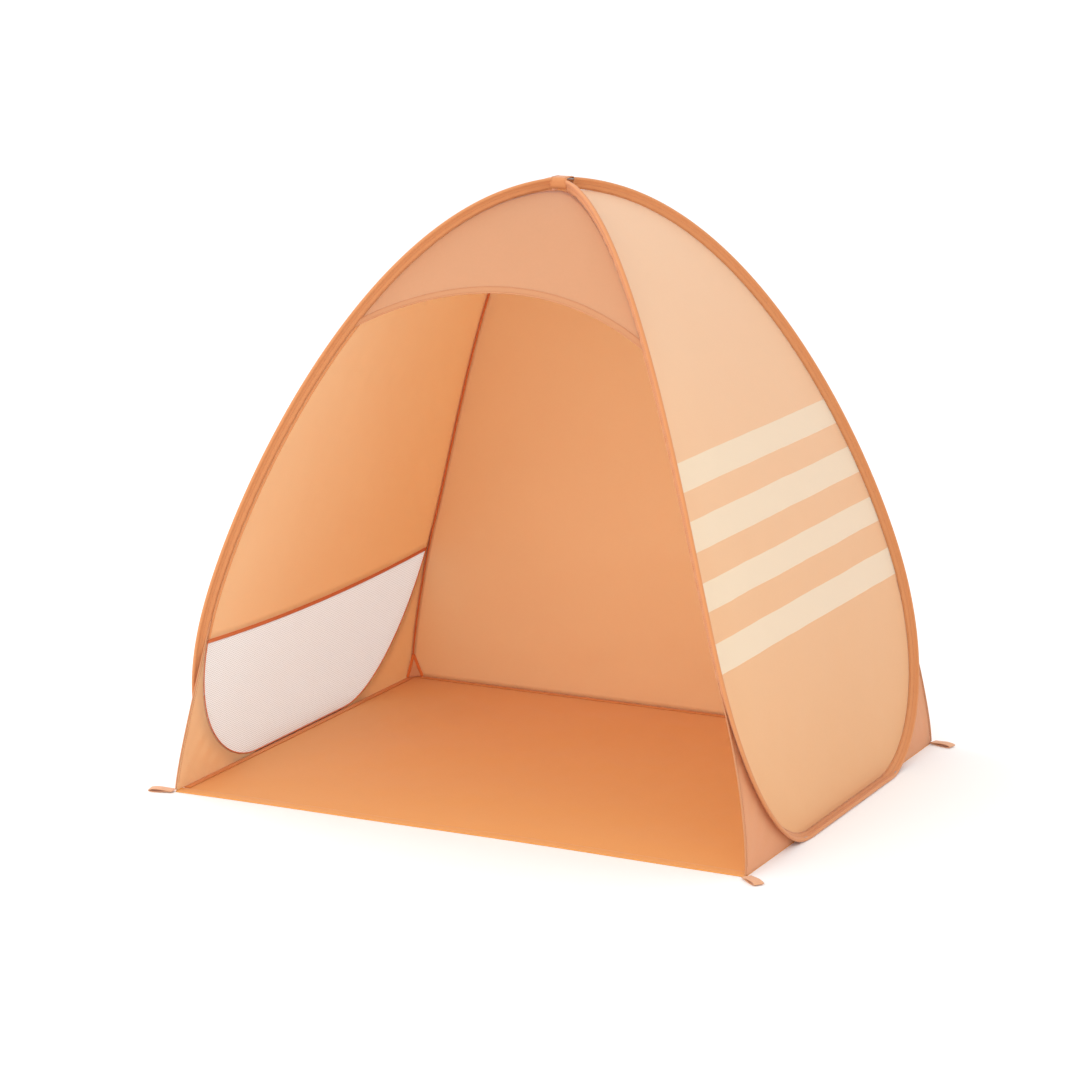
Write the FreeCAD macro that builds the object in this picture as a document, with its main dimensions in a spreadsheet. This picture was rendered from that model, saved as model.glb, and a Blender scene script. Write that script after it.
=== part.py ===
"""Pop-up beach shelter: two sprung teardrop hoops that cross at the crown, with a cloth skin.

Millimetres, +Z up. The origin is on the ground under the crown, midway between the floor's edges.
+X is the right side seen from the doorway, and -Y is the doorway side.

The skin is a vault of two families of cloth. The side cloths are ruled along Y over one curve, the
side curve in XZ. The back cloth and the front fascia are ruled along X over the hoop's own outline
in YZ. Each rib lies where the two families meet, so its line follows from those two curves alone.
"""
import FreeCAD
import Part
import math
import os

import Sketcher
from FreeCAD import Vector

doc = FreeCAD.newDocument("PopUpShelter")

# ---------------------------------------------------------------------------------------------
# Driving sizes
# ---------------------------------------------------------------------------------------------

SIZES = {
    # overall form, along the sewn seams
    "floor_width": 1150,
    "floor_depth": 925,
    "frame_height": 1105,
    # the hoop's outline seen from the side
    "hoop_reach": 431,            # half its depth at the belly, the widest point
    "belly_height": 331,
    "heel_height": 122,           # pull of the curve that turns under
    "sole_reach": 172,            # half of the straight that lies on the ground
    "sole_lift": 5,               # height of the seam along that straight
    "crown_fullness": 0.55,       # pulls of the outline's curves, as shares of its reach and height
    "shoulder_fullness": 0.50,
    "heel_fullness": 0.68,
    # the side curve seen from the doorway
    "side_crown_fullness": 0.577,
    "side_foot_fullness": 0.15,
    # cloth
    "cloth_thickness": 1.2,
    "hem_thickness": 2.0,
    "seam_gap": 2.0,              # from a seam line to the edge of a cloth
    "ground_gap": 2.0,            # from the ground to the lowest edge of a wall cloth
    "crown_gap": 3.0,             # drop from the crown to the top edge of a wall cloth
    # wire and its channel tape
    "wire_diameter": 4.0,
    "channel_clearance": 1.4,
    "tape_cloth": 0.8,
    "tape_slit": 0.6,
    "tape_width": 22.0,
    "tape_start": 1.2,            # from a seam line out to the tape's two edges
    "cross_clearance": 0.2,
    "cross_blend": 80.0,          # distance from the crown over which the crossing wires part
    "hinge_gap": 2.5,             # from the fold's plane to the wires' ends
    # crimped tube that joins the wire's two ends
    "ferrule_length": 50.0,
    "ferrule_wall": 0.6,
    "ferrule_fit": 0.15,
    "ferrule_offset": 60.0,
    # tab round the crossing
    "tab_half_length": 14.5,
    "tab_half_width": 17.0,
    "tab_cloth": 1.2,
    "tab_clearance": 0.6,
    "tab_leg": 20.0,
    "tab_end_gap": 3.0,
    # mesh window of the left side
    "window_height": 287,
    "window_sag": 15,
    "window_binding": 10,
    # arched lower edge of the front fascia
    "arch_foot_drop": 238,        # from the crown down to the foot of the doorway arch
    "arch_rise": 75,
    "arch_hem": 12,
    # floor
    "floor_hem": 25,
    "floor_tape_width": 12,
    "floor_tape_inset": 4,
    "floor_tape_gap": 0.2,
    # binding tape on the inside of the ribs' seams
    "binding_width": 7.0,
    "binding_inset": 3.0,
    "binding_thickness": 1.6,
    "binding_start": 45.0,        # distance of its top end from the fold's plane
    # webbing loops for the ground pegs
    "loop_webbing": 1.5,
    "loop_height": 8.0,
    "loop_length": 50.0,
    "loop_width": 20.0,
    "loop_stand_off": 8.0,
}

sheet = doc.addObject("Spreadsheet::Sheet", "Sizes")
for row, (alias, number) in enumerate(SIZES.items(), start=1):
    sheet.set(f"A{row}", alias)
    sheet.set(f"B{row}", str(number))
    sheet.setAlias(f"B{row}", alias)
doc.recompute()


class Size:
    """A length that knows both its number and the expression that gives it from the sheet."""

    def __init__(self, text, number):
        self.text = text
        self.number = float(number)

    def __add__(self, other):
        other = as_size(other)
        return Size(f"({self.text} + {other.text})", self.number + other.number)

    def __sub__(self, other):
        other = as_size(other)
        return Size(f"({self.text} - {other.text})", self.number - other.number)

    def __mul__(self, other):
        other = as_size(other)
        return Size(f"({self.text} * {other.text})", self.number * other.number)

    def __truediv__(self, other):
        other = as_size(other)
        return Size(f"({self.text} / {other.text})", self.number / other.number)

    def __neg__(self):
        return Size(f"(-1 * {self.text})", -self.number)


def as_size(value):
    """Return value as a Size, so that plain numbers mix with named ones."""
    return value if isinstance(value, Size) else Size(str(value), value)


def cell(alias):
    """Return the Size held under an alias of the sheet."""
    return Size(f"Sizes.{alias}", sheet.get(alias))


def mm(alias):
    """Return the plain number held under an alias of the sheet."""
    return float(sheet.get(alias))


# ---------------------------------------------------------------------------------------------
# Sketch helpers
# ---------------------------------------------------------------------------------------------

ORIGIN = (-1, 1)
HORIZONTAL_AXIS = -1
VERTICAL_AXIS = -2


def origin_plane(body, role):
    """Return one of a body's own origin planes."""
    return next(f for f in body.Origin.OriginFeatures if f.Role == role)


def new_sketch(body, name, role):
    """Add a sketch on one of a body's origin planes."""
    sketch = body.newObject("Sketcher::SketchObject", name)
    sketch.AttachmentSupport = [(origin_plane(body, role), "")]
    sketch.MapMode = "FlatFace"
    return sketch


def hold(sketch, kind, geometry, point, size):
    """Hold one coordinate of a sketch point at a size measured from the sketch's origin."""
    if abs(size.number) < 1e-9:
        axis = VERTICAL_AXIS if kind == "DistanceX" else HORIZONTAL_AXIS
        sketch.addConstraint(Sketcher.Constraint("PointOnObject", geometry, point, axis))
        return
    if size.number > 0:
        constraint = Sketcher.Constraint(kind, *ORIGIN, geometry, point, size.number)
    else:
        size = -size
        constraint = Sketcher.Constraint(kind, geometry, point, *ORIGIN, size.number)
    index = sketch.addConstraint(constraint)
    sketch.setExpression(f"Constraints[{index}]", size.text)


def hold_point(sketch, geometry, point, place):
    """Hold both coordinates of a sketch point."""
    hold(sketch, "DistanceX", geometry, point, as_size(place[0]))
    hold(sketch, "DistanceY", geometry, point, as_size(place[1]))


def flat(place):
    """Return the plain vector of a pair of sizes."""
    return Vector(as_size(place[0]).number, as_size(place[1]).number, 0)


def draw_loop(sketch, pieces):
    """Draw a closed loop. A piece of 2 places is a line, and one of 4 is a cubic curve's poles.

    Each piece starts where the one before it ends, and that shared point is held once.
    """
    drawn = []
    for number, piece in enumerate(pieces):
        if len(piece) == 2:
            drawn.append(sketch.addGeometry(Part.LineSegment(flat(piece[0]), flat(piece[1]))))
            continue
        curve = Part.BezierCurve()
        curve.setPoles([flat(place) for place in piece])
        drawn.append(sketch.addGeometry(curve.toBSpline()))
        first_pole = sketch.GeometryCount
        sketch.exposeInternalGeometry(drawn[-1])
        follows_curve = number > 0 and len(pieces[number - 1]) == 4
        closes_on_curve = number == len(pieces) - 1 and len(pieces[0]) == 4
        for pole, place in enumerate(piece):
            shared = (pole == 0 and follows_curve) or (pole == 3 and closes_on_curve)
            if not shared:
                hold_point(sketch, first_pole + pole, 3, place)
    for number, geometry in enumerate(drawn):
        after = (number + 1) % len(drawn)
        sketch.addConstraint(Sketcher.Constraint("Coincident", geometry, 2, drawn[after], 1))
        if len(pieces[number]) == 2 and len(pieces[after]) == 2:
            hold_point(sketch, geometry, 2, pieces[number][1])
    return drawn


def draw_frame(sketch, half_width, low, high):
    """Draw a rectangle that is even about the sketch's vertical axis."""
    corners = [(-half_width, low), (half_width, low), (half_width, high), (-half_width, high)]
    draw_loop(sketch, [(a, b) for a, b in zip(corners, corners[1:] + corners[:1])])


def draw_bowed_block(sketch, half_chord, half_block, edge, bow, far):
    """Draw a block from edge to far whose edge is an arc between two flat shoulders.

    The arc's ends are on the edge, half_chord from the middle, and bow lifts its middle.
    """
    path = [(half_chord, edge), (half_block, edge), (half_block, far),
            (-half_block, far), (-half_block, edge), (-half_chord, edge)]
    middle = Vector(0, edge.number + bow.number, 0)
    arc = sketch.addGeometry(Part.Arc(flat(path[-1]), middle, flat(path[0])))
    lines = [sketch.addGeometry(Part.LineSegment(flat(a), flat(b))) for a, b in zip(path, path[1:])]
    at_left, at_right = (1, 2) if sketch.getPoint(arc, 1).x < 0 else (2, 1)
    joints = [(a, 2, b, 1) for a, b in zip(lines, lines[1:])]
    for joined in [(arc, at_right, lines[0], 1), (lines[-1], 2, arc, at_left)] + joints:
        sketch.addConstraint(Sketcher.Constraint("Coincident", *joined))
    for line, place in zip(lines, path):
        hold_point(sketch, line, 1, place)
    hold_point(sketch, lines[-1], 2, path[-1])
    rise = bow if bow.number > 0 else -bow
    radius = (half_chord * half_chord + rise * rise) / (rise * 2)
    index = sketch.addConstraint(Sketcher.Constraint("Radius", arc, radius.number))
    sketch.setExpression(f"Constraints[{index}]", radius.text)


def new_body(name):
    """Add a body that is one sub-part, named as its file."""
    body = doc.addObject("PartDesign::Body", name)
    body.Label = name
    return body


def pad(body, sketch, length, symmetric=True):
    """Pad a sketch, by default to both sides of its plane."""
    feature = body.newObject("PartDesign::Pad", f"{body.Label}_pad")
    feature.Profile = sketch
    feature.Length = length.number
    feature.setExpression("Length", length.text)
    feature.SideType = "Symmetric" if symmetric else "One side"
    sketch.Visibility = False
    return feature


def trim(body, name, role, draw):
    """Cut a body right through, both ways, with what draw puts in a sketch on the role plane."""
    sketch = new_sketch(body, f"{body.Label}_{name}", role)
    draw(sketch)
    feature = body.newObject("PartDesign::Pocket", f"{body.Label}_{name}_cut")
    feature.Profile = sketch
    feature.Type = "ThroughAll"
    feature.SideType = "Symmetric"
    sketch.Visibility = False
    return feature


# ---------------------------------------------------------------------------------------------
# The two families of curves
# ---------------------------------------------------------------------------------------------

half_width = cell("floor_width") / 2
half_depth = cell("floor_depth") / 2
height = cell("frame_height")
cloth = cell("cloth_thickness")
gap = cell("seam_gap")
foot = cell("ground_gap")
reach = cell("hoop_reach")
belly = cell("belly_height")
sole = cell("sole_reach")
lift = cell("sole_lift")


def side_poles(inset=0.0):
    """Return the poles of the side curve, from the crown to the foot, shifted in by inset."""
    inset = as_size(inset)
    top = height - inset
    out = half_width - inset
    return [(as_size(0), top),
            (half_width * cell("side_crown_fullness"), top),
            (out, height * cell("side_foot_fullness")),
            (out, foot)]


def arch_poles(inset=0.0):
    """Return the poles of the hoop's upper outline, from the crown to the belly."""
    inset = as_size(inset)
    top = height - inset
    out = reach - inset
    return [(as_size(0), top),
            (reach * cell("crown_fullness"), top),
            (out, height * cell("shoulder_fullness")),
            (out, belly)]


def heel_poles(inset=0.0):
    """Return the poles of the hoop's lower outline, from the belly to the sole."""
    inset = as_size(inset)
    out = reach - inset
    bottom = lift + inset
    return [(out, belly),
            (out, cell("heel_height")),
            (out * cell("heel_fullness"), bottom),
            (sole, bottom)]


def mirrored(poles):
    """Return poles on the other side of the vertical axis, run the other way."""
    return [(-across, up) for across, up in reversed(poles)]


def on_side(poles, sign):
    """Return poles on the positive or the negative side, in the same order."""
    return [(across if sign > 0 else -across, up) for across, up in poles]


# ---------------------------------------------------------------------------------------------
# Wall cloths
# ---------------------------------------------------------------------------------------------

def side_cloth(name, sign, thickness):
    """Make a strip of the right or left wall, over the whole depth, ready to be trimmed."""
    body = new_body(name)
    sketch = new_sketch(body, f"{name}_curve", "XZ_Plane")
    outer = on_side(side_poles(), sign)
    inner = on_side(side_poles(thickness), sign)
    draw_loop(sketch, [outer, (outer[3], inner[3]), inner[::-1], (inner[0], outer[0])])
    pad(body, sketch, cell("floor_depth"))
    return body


def cross_cloth(name, sign, thickness):
    """Make a strip of the front or back wall, over the whole width, ready to be trimmed."""
    body = new_body(name)
    sketch = new_sketch(body, f"{name}_curve", "YZ_Plane")
    outer = on_side(arch_poles(), sign)
    inner = on_side(arch_poles(thickness), sign)
    loop = [outer]
    if sign > 0:
        outer_foot = (half_depth, foot)
        inner_foot = (half_depth - thickness, foot)
        loop += [(outer[3], outer_foot), (outer_foot, inner_foot), (inner_foot, inner[3])]
    else:
        loop += [(outer[3], inner[3])]
    loop += [inner[::-1], (inner[0], outer[0])]
    draw_loop(sketch, loop)
    pad(body, sketch, cell("floor_width"))
    return body


def cut_crown(body):
    """Cut a wall cloth off flat just below the crown, clear of the crossing."""
    def draw(sketch):
        draw_frame(sketch, half_width, height - cell("crown_gap"), height * 2)
    trim(body, "crown", "XZ_Plane", draw)


def keep_inside_hoop(body):
    """Trim a side cloth to the teardrop inside the hoop's seam."""
    def draw(sketch):
        draw_frame(sketch, cell("floor_depth"), -height, height * 2)
        upper = arch_poles(gap)
        lower = heel_poles(gap)
        floor_line = (lower[3], (-lower[3][0], lower[3][1]))
        draw_loop(sketch, [upper, lower, floor_line, mirrored(lower), mirrored(upper)])
    trim(body, "hoop", "YZ_Plane", draw)


def keep_between_ribs(body):
    """Trim a front or back cloth to the width between the ribs."""
    def draw(sketch):
        draw_frame(sketch, cell("floor_width"), -height, height * 2)
        edge = side_poles(gap)
        floor_line = (edge[3], (-edge[3][0], edge[3][1]))
        draw_loop(sketch, [edge, floor_line, mirrored(edge)])
    trim(body, "ribs", "XZ_Plane", draw)


def cut_window(body, name, edge, far):
    """Cut a left cloth away from the window's sagging seam, moved to edge, as far as far."""
    def draw(sketch):
        draw_bowed_block(sketch, reach, half_depth, edge, -cell("window_sag"), far)
    trim(body, name, "YZ_Plane", draw)


def cut_arch(body, name, edge, far):
    """Cut a front cloth away from the doorway's arch, moved to edge, as far as far."""
    meets_rib = as_size(side_at(mm("frame_height") - mm("arch_foot_drop"))[0])

    def draw(sketch):
        draw_bowed_block(sketch, meets_rib, half_width, edge, cell("arch_rise"), far)
    trim(body, name, "XZ_Plane", draw)


window = cell("window_height")
arch_foot = height - cell("arch_foot_drop")
binding_top = window + cell("window_binding")
hem_top = arch_foot + cell("arch_hem")
under = -height
over = height * 2


def right_side_panel():
    """The right wall inside its hoop, one piece of cloth."""
    body = side_cloth("right_side_panel", 1, cloth)
    keep_inside_hoop(body)
    cut_crown(body)


def left_side_panel():
    """The left wall above its mesh window."""
    body = side_cloth("left_side_panel", -1, cloth)
    keep_inside_hoop(body)
    cut_crown(body)
    cut_window(body, "below", binding_top + gap, under)


def left_window_binding():
    """The folded tape that joins the mesh to the cloth above it."""
    body = side_cloth("left_window_binding", -1, cell("hem_thickness"))
    keep_inside_hoop(body)
    cut_window(body, "above", binding_top, over)
    cut_window(body, "below", window, under)


def left_mesh_window():
    """The mesh in the lower part of the left wall."""
    body = side_cloth("left_mesh_window", -1, cloth)
    keep_inside_hoop(body)
    cut_window(body, "above", window - gap, over)


def back_panel():
    """The back wall, from the crown down to the floor's back edge."""
    body = cross_cloth("back_panel", 1, cloth)
    keep_between_ribs(body)
    cut_crown(body)


def front_fascia():
    """The cloth over the doorway, with an arched lower edge."""
    body = cross_cloth("front_fascia", -1, cloth)
    keep_between_ribs(body)
    cut_crown(body)
    cut_arch(body, "below", hem_top + gap, under)


def front_fascia_hem():
    """The folded hem along the fascia's arch."""
    body = cross_cloth("front_fascia_hem", -1, cell("hem_thickness"))
    keep_between_ribs(body)
    cut_arch(body, "above", hem_top, over)
    cut_arch(body, "below", arch_foot, under)


def gusset(name, side, end):
    """A corner cloth, between the hoop where it turns under and the floor's corner."""
    body = side_cloth(name, side, cloth)

    def draw(sketch):
        draw_frame(sketch, cell("floor_depth"), -height, height * 2)
        under = on_side(heel_poles(-gap), end)
        toe = (under[3][0], foot + gap)
        corner = (half_depth if end > 0 else -half_depth, foot + gap)
        draw_loop(sketch, [under[:3] + [toe], (toe, corner), (corner, under[0])])
    trim(body, "outline", "YZ_Plane", draw)


# ---------------------------------------------------------------------------------------------
# The ribs' line in space
# ---------------------------------------------------------------------------------------------

ROOT_STEPS = 40


def plain(poles):
    """Return poles as pairs of numbers."""
    return [(as_size(across).number, as_size(up).number) for across, up in poles]


def bezier(poles, share):
    """Return the point and the direction of a cubic curve at a share from 0 to 1."""
    rest = 1 - share
    weights = (rest ** 3, 3 * rest ** 2 * share, 3 * rest * share ** 2, share ** 3)
    slopes = (-3 * rest ** 2, 3 * rest ** 2 - 6 * rest * share,
              6 * rest * share - 3 * share ** 2, 3 * share ** 2)
    point = [sum(w * pole[axis] for w, pole in zip(weights, poles)) for axis in (0, 1)]
    slope = [sum(w * pole[axis] for w, pole in zip(slopes, poles)) for axis in (0, 1)]
    return point, slope


def solve(function, low, high):
    """Return where a rising function crosses zero, by halving."""
    for _ in range(ROOT_STEPS):
        middle = (low + high) / 2
        if function(middle) < 0:
            low = middle
        else:
            high = middle
    return (low + high) / 2


SIDE = plain(side_poles())
ARCH = plain(arch_poles())
HEEL = plain(heel_poles())
REAR_EDGE = (mm("floor_depth") / 2, mm("ground_gap"))


def side_at(level):
    """Return the side curve's distance from the middle and its outward normal, at a height."""
    share = solve(lambda s: level - bezier(SIDE, s)[0][1], 0.0, 1.0)
    (across, _), (run, fall) = bezier(SIDE, share)
    length = math.hypot(run, fall)
    return across, Vector(-fall / length, 0, run / length)


def outline_at(stretch, share):
    """Return a point of the hoop's outline, in YZ, and its outward normal."""
    if stretch == "corner":
        start, end = (mm("hoop_reach"), mm("belly_height")), REAR_EDGE
        place = [a + (b - a) * share for a, b in zip(start, end)]
        slope = (end[0] - start[0], end[1] - start[1])
    else:
        place, slope = bezier(ARCH if stretch == "arch" else HEEL, share)
    length = math.hypot(*slope)
    return place, Vector(0, -slope[1] / length, slope[0] / length)


WIRE_RADIUS = mm("wire_diameter") / 2
CHANNEL_RADIUS = WIRE_RADIUS + mm("channel_clearance")
TUBE_RADIUS = CHANNEL_RADIUS + mm("tape_cloth")
WIRE_STAND = mm("tape_width") - TUBE_RADIUS


def seam_station(stretch, share, side, end):
    """Return the seam point and the tape's outward direction on one rib.

    side is 1 on the right and -1 on the left; end is 1 at the back and -1 at the front. The tape
    halves the angle between the cloths that meet at the seam, and lies over where it would go
    into the ground.
    """
    (along, level), outline_normal = outline_at(stretch, share)
    across, side_normal = side_at(level)
    seam = Vector(side * across, end * along, level)
    outward = side_normal + outline_normal
    outward.normalize()
    if seam.z + outward.z * WIRE_STAND < TUBE_RADIUS:
        drop = (TUBE_RADIUS - seam.z) / WIRE_STAND
        spread = math.sqrt((1 - drop ** 2) / (outward.x ** 2 + outward.y ** 2))
        outward = Vector(outward.x * spread, outward.y * spread, drop)
    return seam, Vector(side * outward.x, end * outward.y, outward.z)


def wire_point(stretch, share, side, end):
    """Return the wire's centre, raised or lowered near the crown where two wires cross."""
    seam, outward = seam_station(stretch, share, side, end)
    near = max(0.0, 1 - abs(seam.x) / mm("cross_blend"))
    step = (WIRE_RADIUS + mm("cross_clearance")) * near ** 2
    return seam + outward * WIRE_STAND + Vector(0, 0, side * end * step)


ARCH_RUNS = 18
HEEL_RUNS = 10


def share_at(distance):
    """Return the share of the upper outline where its rib is a distance from the fold's plane."""
    return solve(lambda s: side_at(outline_at("arch", s)[0][1])[0] - distance, 0.0, 0.9)


def hoop_stations(top_share):
    """Return the stations of a whole hoop, from its front top down, under and up to its back top."""
    down = [("arch", top_share + (1 - top_share) * i / ARCH_RUNS) for i in range(ARCH_RUNS)]
    down += [("heel", i / HEEL_RUNS) for i in range(HEEL_RUNS + 1)]
    return [(*place, -1) for place in down] + [(*place, 1) for place in reversed(down)]


# ---------------------------------------------------------------------------------------------
# Wire, ferrule, channel tape and bindings
# ---------------------------------------------------------------------------------------------

def loft_sections(sections):
    """Join closed polygons of equal corners into one solid with straight rulings."""
    wires = [Part.makePolygon(section + section[:1]) for section in sections]
    return Part.makeLoft(wires, True, True)




def section_frame(points, outward, index):
    """Return the tape's outward and sideways directions, square to the run at one station."""
    before = points[max(index - 1, 0)]
    after = points[min(index + 1, len(points) - 1)]
    along = after - before
    along.normalize()
    out = outward - along * outward.dot(along)
    out.normalize()
    return out, along.cross(out)


BULB_SIDES = 6
WIRE_FLATS = 12


def hairpin():
    """Return the corners of the folded tape's section, as pairs out from and beside its seam."""
    inner_half = mm("tape_slit") / 2
    outer_half = inner_half + mm("tape_cloth")
    start = mm("tape_start")

    def side(radius, half):
        opening = math.asin(half / radius)
        turn = (2 * math.pi - 2 * opening) / BULB_SIDES
        angles = [math.pi - opening - turn * step for step in range(BULB_SIDES + 1)]
        bulb = [(WIRE_STAND + radius * math.cos(a), radius * math.sin(a)) for a in angles]
        return [(start, half)] + bulb + [(start, -half)]

    return side(TUBE_RADIUS, outer_half) + side(CHANNEL_RADIUS, inner_half)[::-1]


def add_feature(name, shape):
    """Add a sub-part whose shape is made by code from the sheet's sizes."""
    feature = doc.addObject("Part::Feature", name)
    feature.Label = name
    feature.Shape = shape
    return feature


TAPE_TOP = mm("tab_half_length") + mm("tab_end_gap")


def hoop_rod(name, side):
    """The spring wire of one hoop, from the fold's plane round to the fold's plane."""
    tops = share_at(mm("hinge_gap"))
    stations = hoop_stations(share_at(TAPE_TOP))
    stations = [("arch", tops, -1)] + stations + [("arch", tops, 1)]
    wires = [wire_point(stretch, share, side, end) for stretch, share, end in stations]
    turns = [2 * math.pi * step / WIRE_FLATS for step in range(WIRE_FLATS)]
    section = [(WIRE_RADIUS * math.cos(a), WIRE_RADIUS * math.sin(a)) for a in turns]
    sections = []
    for index, (stretch, share, end) in enumerate(stations):
        outward = seam_station(stretch, share, side, end)[1]
        out, beside = section_frame(wires, outward, index)
        sections.append([wires[index] + out * u + beside * v for u, v in section])
    add_feature(name, loft_sections(sections))


def hoop_sleeve(name, side):
    """The channel tape of one hoop: a strip folded round the wire, its two edges in the seam."""
    stations = hoop_stations(share_at(TAPE_TOP))
    wires = [wire_point(stretch, share, side, end) for stretch, share, end in stations]
    section = hairpin()
    sections = []
    for index, (stretch, share, end) in enumerate(stations):
        outward = seam_station(stretch, share, side, end)[1]
        out, beside = section_frame(wires, outward, index)
        seam = wires[index] - out * WIRE_STAND
        sections.append([seam + out * u + beside * v for u, v in section])
    add_feature(name, loft_sections(sections))


def rod_ferrule():
    """The crimped tube that joins the wire's two ends, on the straight under the right wall."""
    name = "rod_ferrule"
    bore = WIRE_RADIUS + mm("ferrule_fit")
    length = mm("ferrule_length")
    middle = wire_point("heel", 1.0, 1, 1)
    start = Vector(middle.x, mm("ferrule_offset") - length / 2, middle.z)
    along = Vector(0, 1, 0)
    tube = Part.makeCylinder(bore + mm("ferrule_wall"), length, start, along)
    hole = Part.makeCylinder(bore, length, start, along)
    add_feature(name, tube.cut(hole))


BINDING_RUNS = 10
CORNER_RUNS = 3


def seam_binding(name, side, end):
    """The binding tape over the raw edges of one rib's seam, inside the shelter."""
    top = share_at(mm("binding_start"))
    places = [("arch", top + (1 - top) * i / BINDING_RUNS) for i in range(BINDING_RUNS + 1)]
    if end > 0:
        places += [("corner", i / CORNER_RUNS) for i in range(1, CORNER_RUNS)]
    stations = [seam_station(stretch, share, side, end) for stretch, share in places]
    seams = [seam for seam, _ in stations]
    near = -mm("binding_inset")
    far = near - mm("binding_width")
    half = mm("binding_thickness") / 2
    sections = []
    for index, (seam, outward) in enumerate(stations):
        out, beside = section_frame(seams, outward, index)
        corners = ((near, half), (near, -half), (far, -half), (far, half))
        sections.append([seam + out * u + beside * v for u, v in corners])
    add_feature(name, loft_sections(sections))


# ---------------------------------------------------------------------------------------------
# Crown tab, floor and peg loops
# ---------------------------------------------------------------------------------------------

def crown_tab():
    """The folded tab that wraps the crossing wires and holds them together."""
    body = new_body("crown_tab")
    sketch = new_sketch(body, "crown_tab_outline", "YZ_Plane")
    tube = cell("wire_diameter") / 2 + cell("channel_clearance") + cell("tape_cloth")
    crossing = height + cell("tape_width") - tube
    top = crossing + cell("wire_diameter") + cell("cross_clearance") + cell("tab_clearance")
    inner = cell("tab_half_width")
    outer = inner + cell("tab_cloth")
    low = top - cell("tab_leg")
    high = top + cell("tab_cloth")
    corners = [(-outer, low), (-inner, low), (-inner, top), (inner, top),
               (inner, low), (outer, low), (outer, high), (-outer, high)]
    draw_loop(sketch, [(a, b) for a, b in zip(corners, corners[1:] + corners[:1])])
    pad(body, sketch, cell("tab_half_length") * 2)


def floor_strip(name, front, back, thickness):
    """A flat strip of the floor from one Y to another, lying on the ground."""
    body = new_body(name)
    sketch = new_sketch(body, f"{name}_outline", "XY_Plane")
    draw_frame(sketch, half_width, front, back)
    pad(body, sketch, thickness, symmetric=False)
    return body


def floor_sheet():
    """The floor behind its front hem."""
    floor_strip("floor_sheet", -half_depth + cell("floor_hem") + gap, half_depth, cloth)


def floor_front_hem():
    """The folded hem along the doorway."""
    floor_strip("floor_front_hem", -half_depth, -half_depth + cell("floor_hem"),
                cell("hem_thickness"))


def floor_seam_tape():
    """The tape over the floor's seams, along its sides and its back, inside."""
    name = "floor_seam_tape"
    inset = mm("cloth_thickness") + mm("floor_tape_inset")
    wide = mm("floor_tape_width")
    base = mm("cloth_thickness") + mm("floor_tape_gap")
    thick = mm("cloth_thickness")
    right = mm("floor_width") / 2 - inset
    rear = mm("floor_depth") / 2 - inset
    front = -mm("floor_depth") / 2 + mm("floor_hem") + mm("seam_gap")
    length = rear - front
    outer = Part.makeBox(2 * right, length, thick, Vector(-right, front, base))
    inner = Part.makeBox(2 * (right - wide), length, thick, Vector(wide - right, front - wide, base))
    add_feature(name, outer.cut(inner))


LOOP_TURNS = {
    "front_left_peg_loop": (-1, -1, 194),
    "front_right_peg_loop": (1, -1, 321),
    "back_left_peg_loop": (-1, 1, 166),
    "back_right_peg_loop": (1, 1, 344),
}


def peg_loop(name, side, end, turn):
    """A flattened loop of webbing at a floor corner, lying on the ground."""
    body = new_body(name)
    sketch = new_sketch(body, f"{name}_outline", "XZ_Plane")
    outer = cell("loop_height") / 2
    inner = outer - cell("loop_webbing")
    straight = cell("loop_length") - cell("loop_height")
    for radius in (outer, inner):
        r = radius.number
        end_near = [Vector(0, r, 0), Vector(-r, 0, 0), Vector(0, -r, 0)]
        to_far = Vector(straight.number, 0, 0)
        end_far = [to_far - place for place in end_near]
        near = sketch.addGeometry(Part.Arc(*end_near))
        far = sketch.addGeometry(Part.Arc(*end_far))
        low = sketch.addGeometry(Part.LineSegment(end_near[2], end_far[0]))
        top = sketch.addGeometry(Part.LineSegment(end_far[2], end_near[0]))
        for joined in ((near, 2, low, 1), (low, 2, far, 1), (far, 2, top, 1), (top, 2, near, 1)):
            sketch.addConstraint(Sketcher.Constraint("Tangent", *joined))
        hold_point(sketch, near, 3, (as_size(0), as_size(0)))
        hold_point(sketch, far, 3, (straight, as_size(0)))
        index = sketch.addConstraint(Sketcher.Constraint("Radius", near, r))
        sketch.setExpression(f"Constraints[{index}]", radius.text)
    pad(body, sketch, cell("loop_width"))
    direction = Vector(math.cos(math.radians(turn)), math.sin(math.radians(turn)), 0)
    corner = Vector(side * mm("floor_width") / 2, end * mm("floor_depth") / 2, 0)
    place = corner + direction * mm("loop_stand_off") + Vector(0, 0, mm("loop_height") / 2)
    body.Placement = FreeCAD.Placement(place, FreeCAD.Rotation(Vector(0, 0, 1), turn))
    out_x = f"Sizes.loop_stand_off * cos({turn} deg)"
    out_y = f"Sizes.loop_stand_off * sin({turn} deg)"
    body.setExpression("Placement.Base.x", f"{side} * Sizes.floor_width / 2 + {out_x}")
    body.setExpression("Placement.Base.y", f"{end} * Sizes.floor_depth / 2 + {out_y}")
    body.setExpression("Placement.Base.z", "Sizes.loop_height / 2")


# ---------------------------------------------------------------------------------------------
# Build, check and write
# ---------------------------------------------------------------------------------------------

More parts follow.
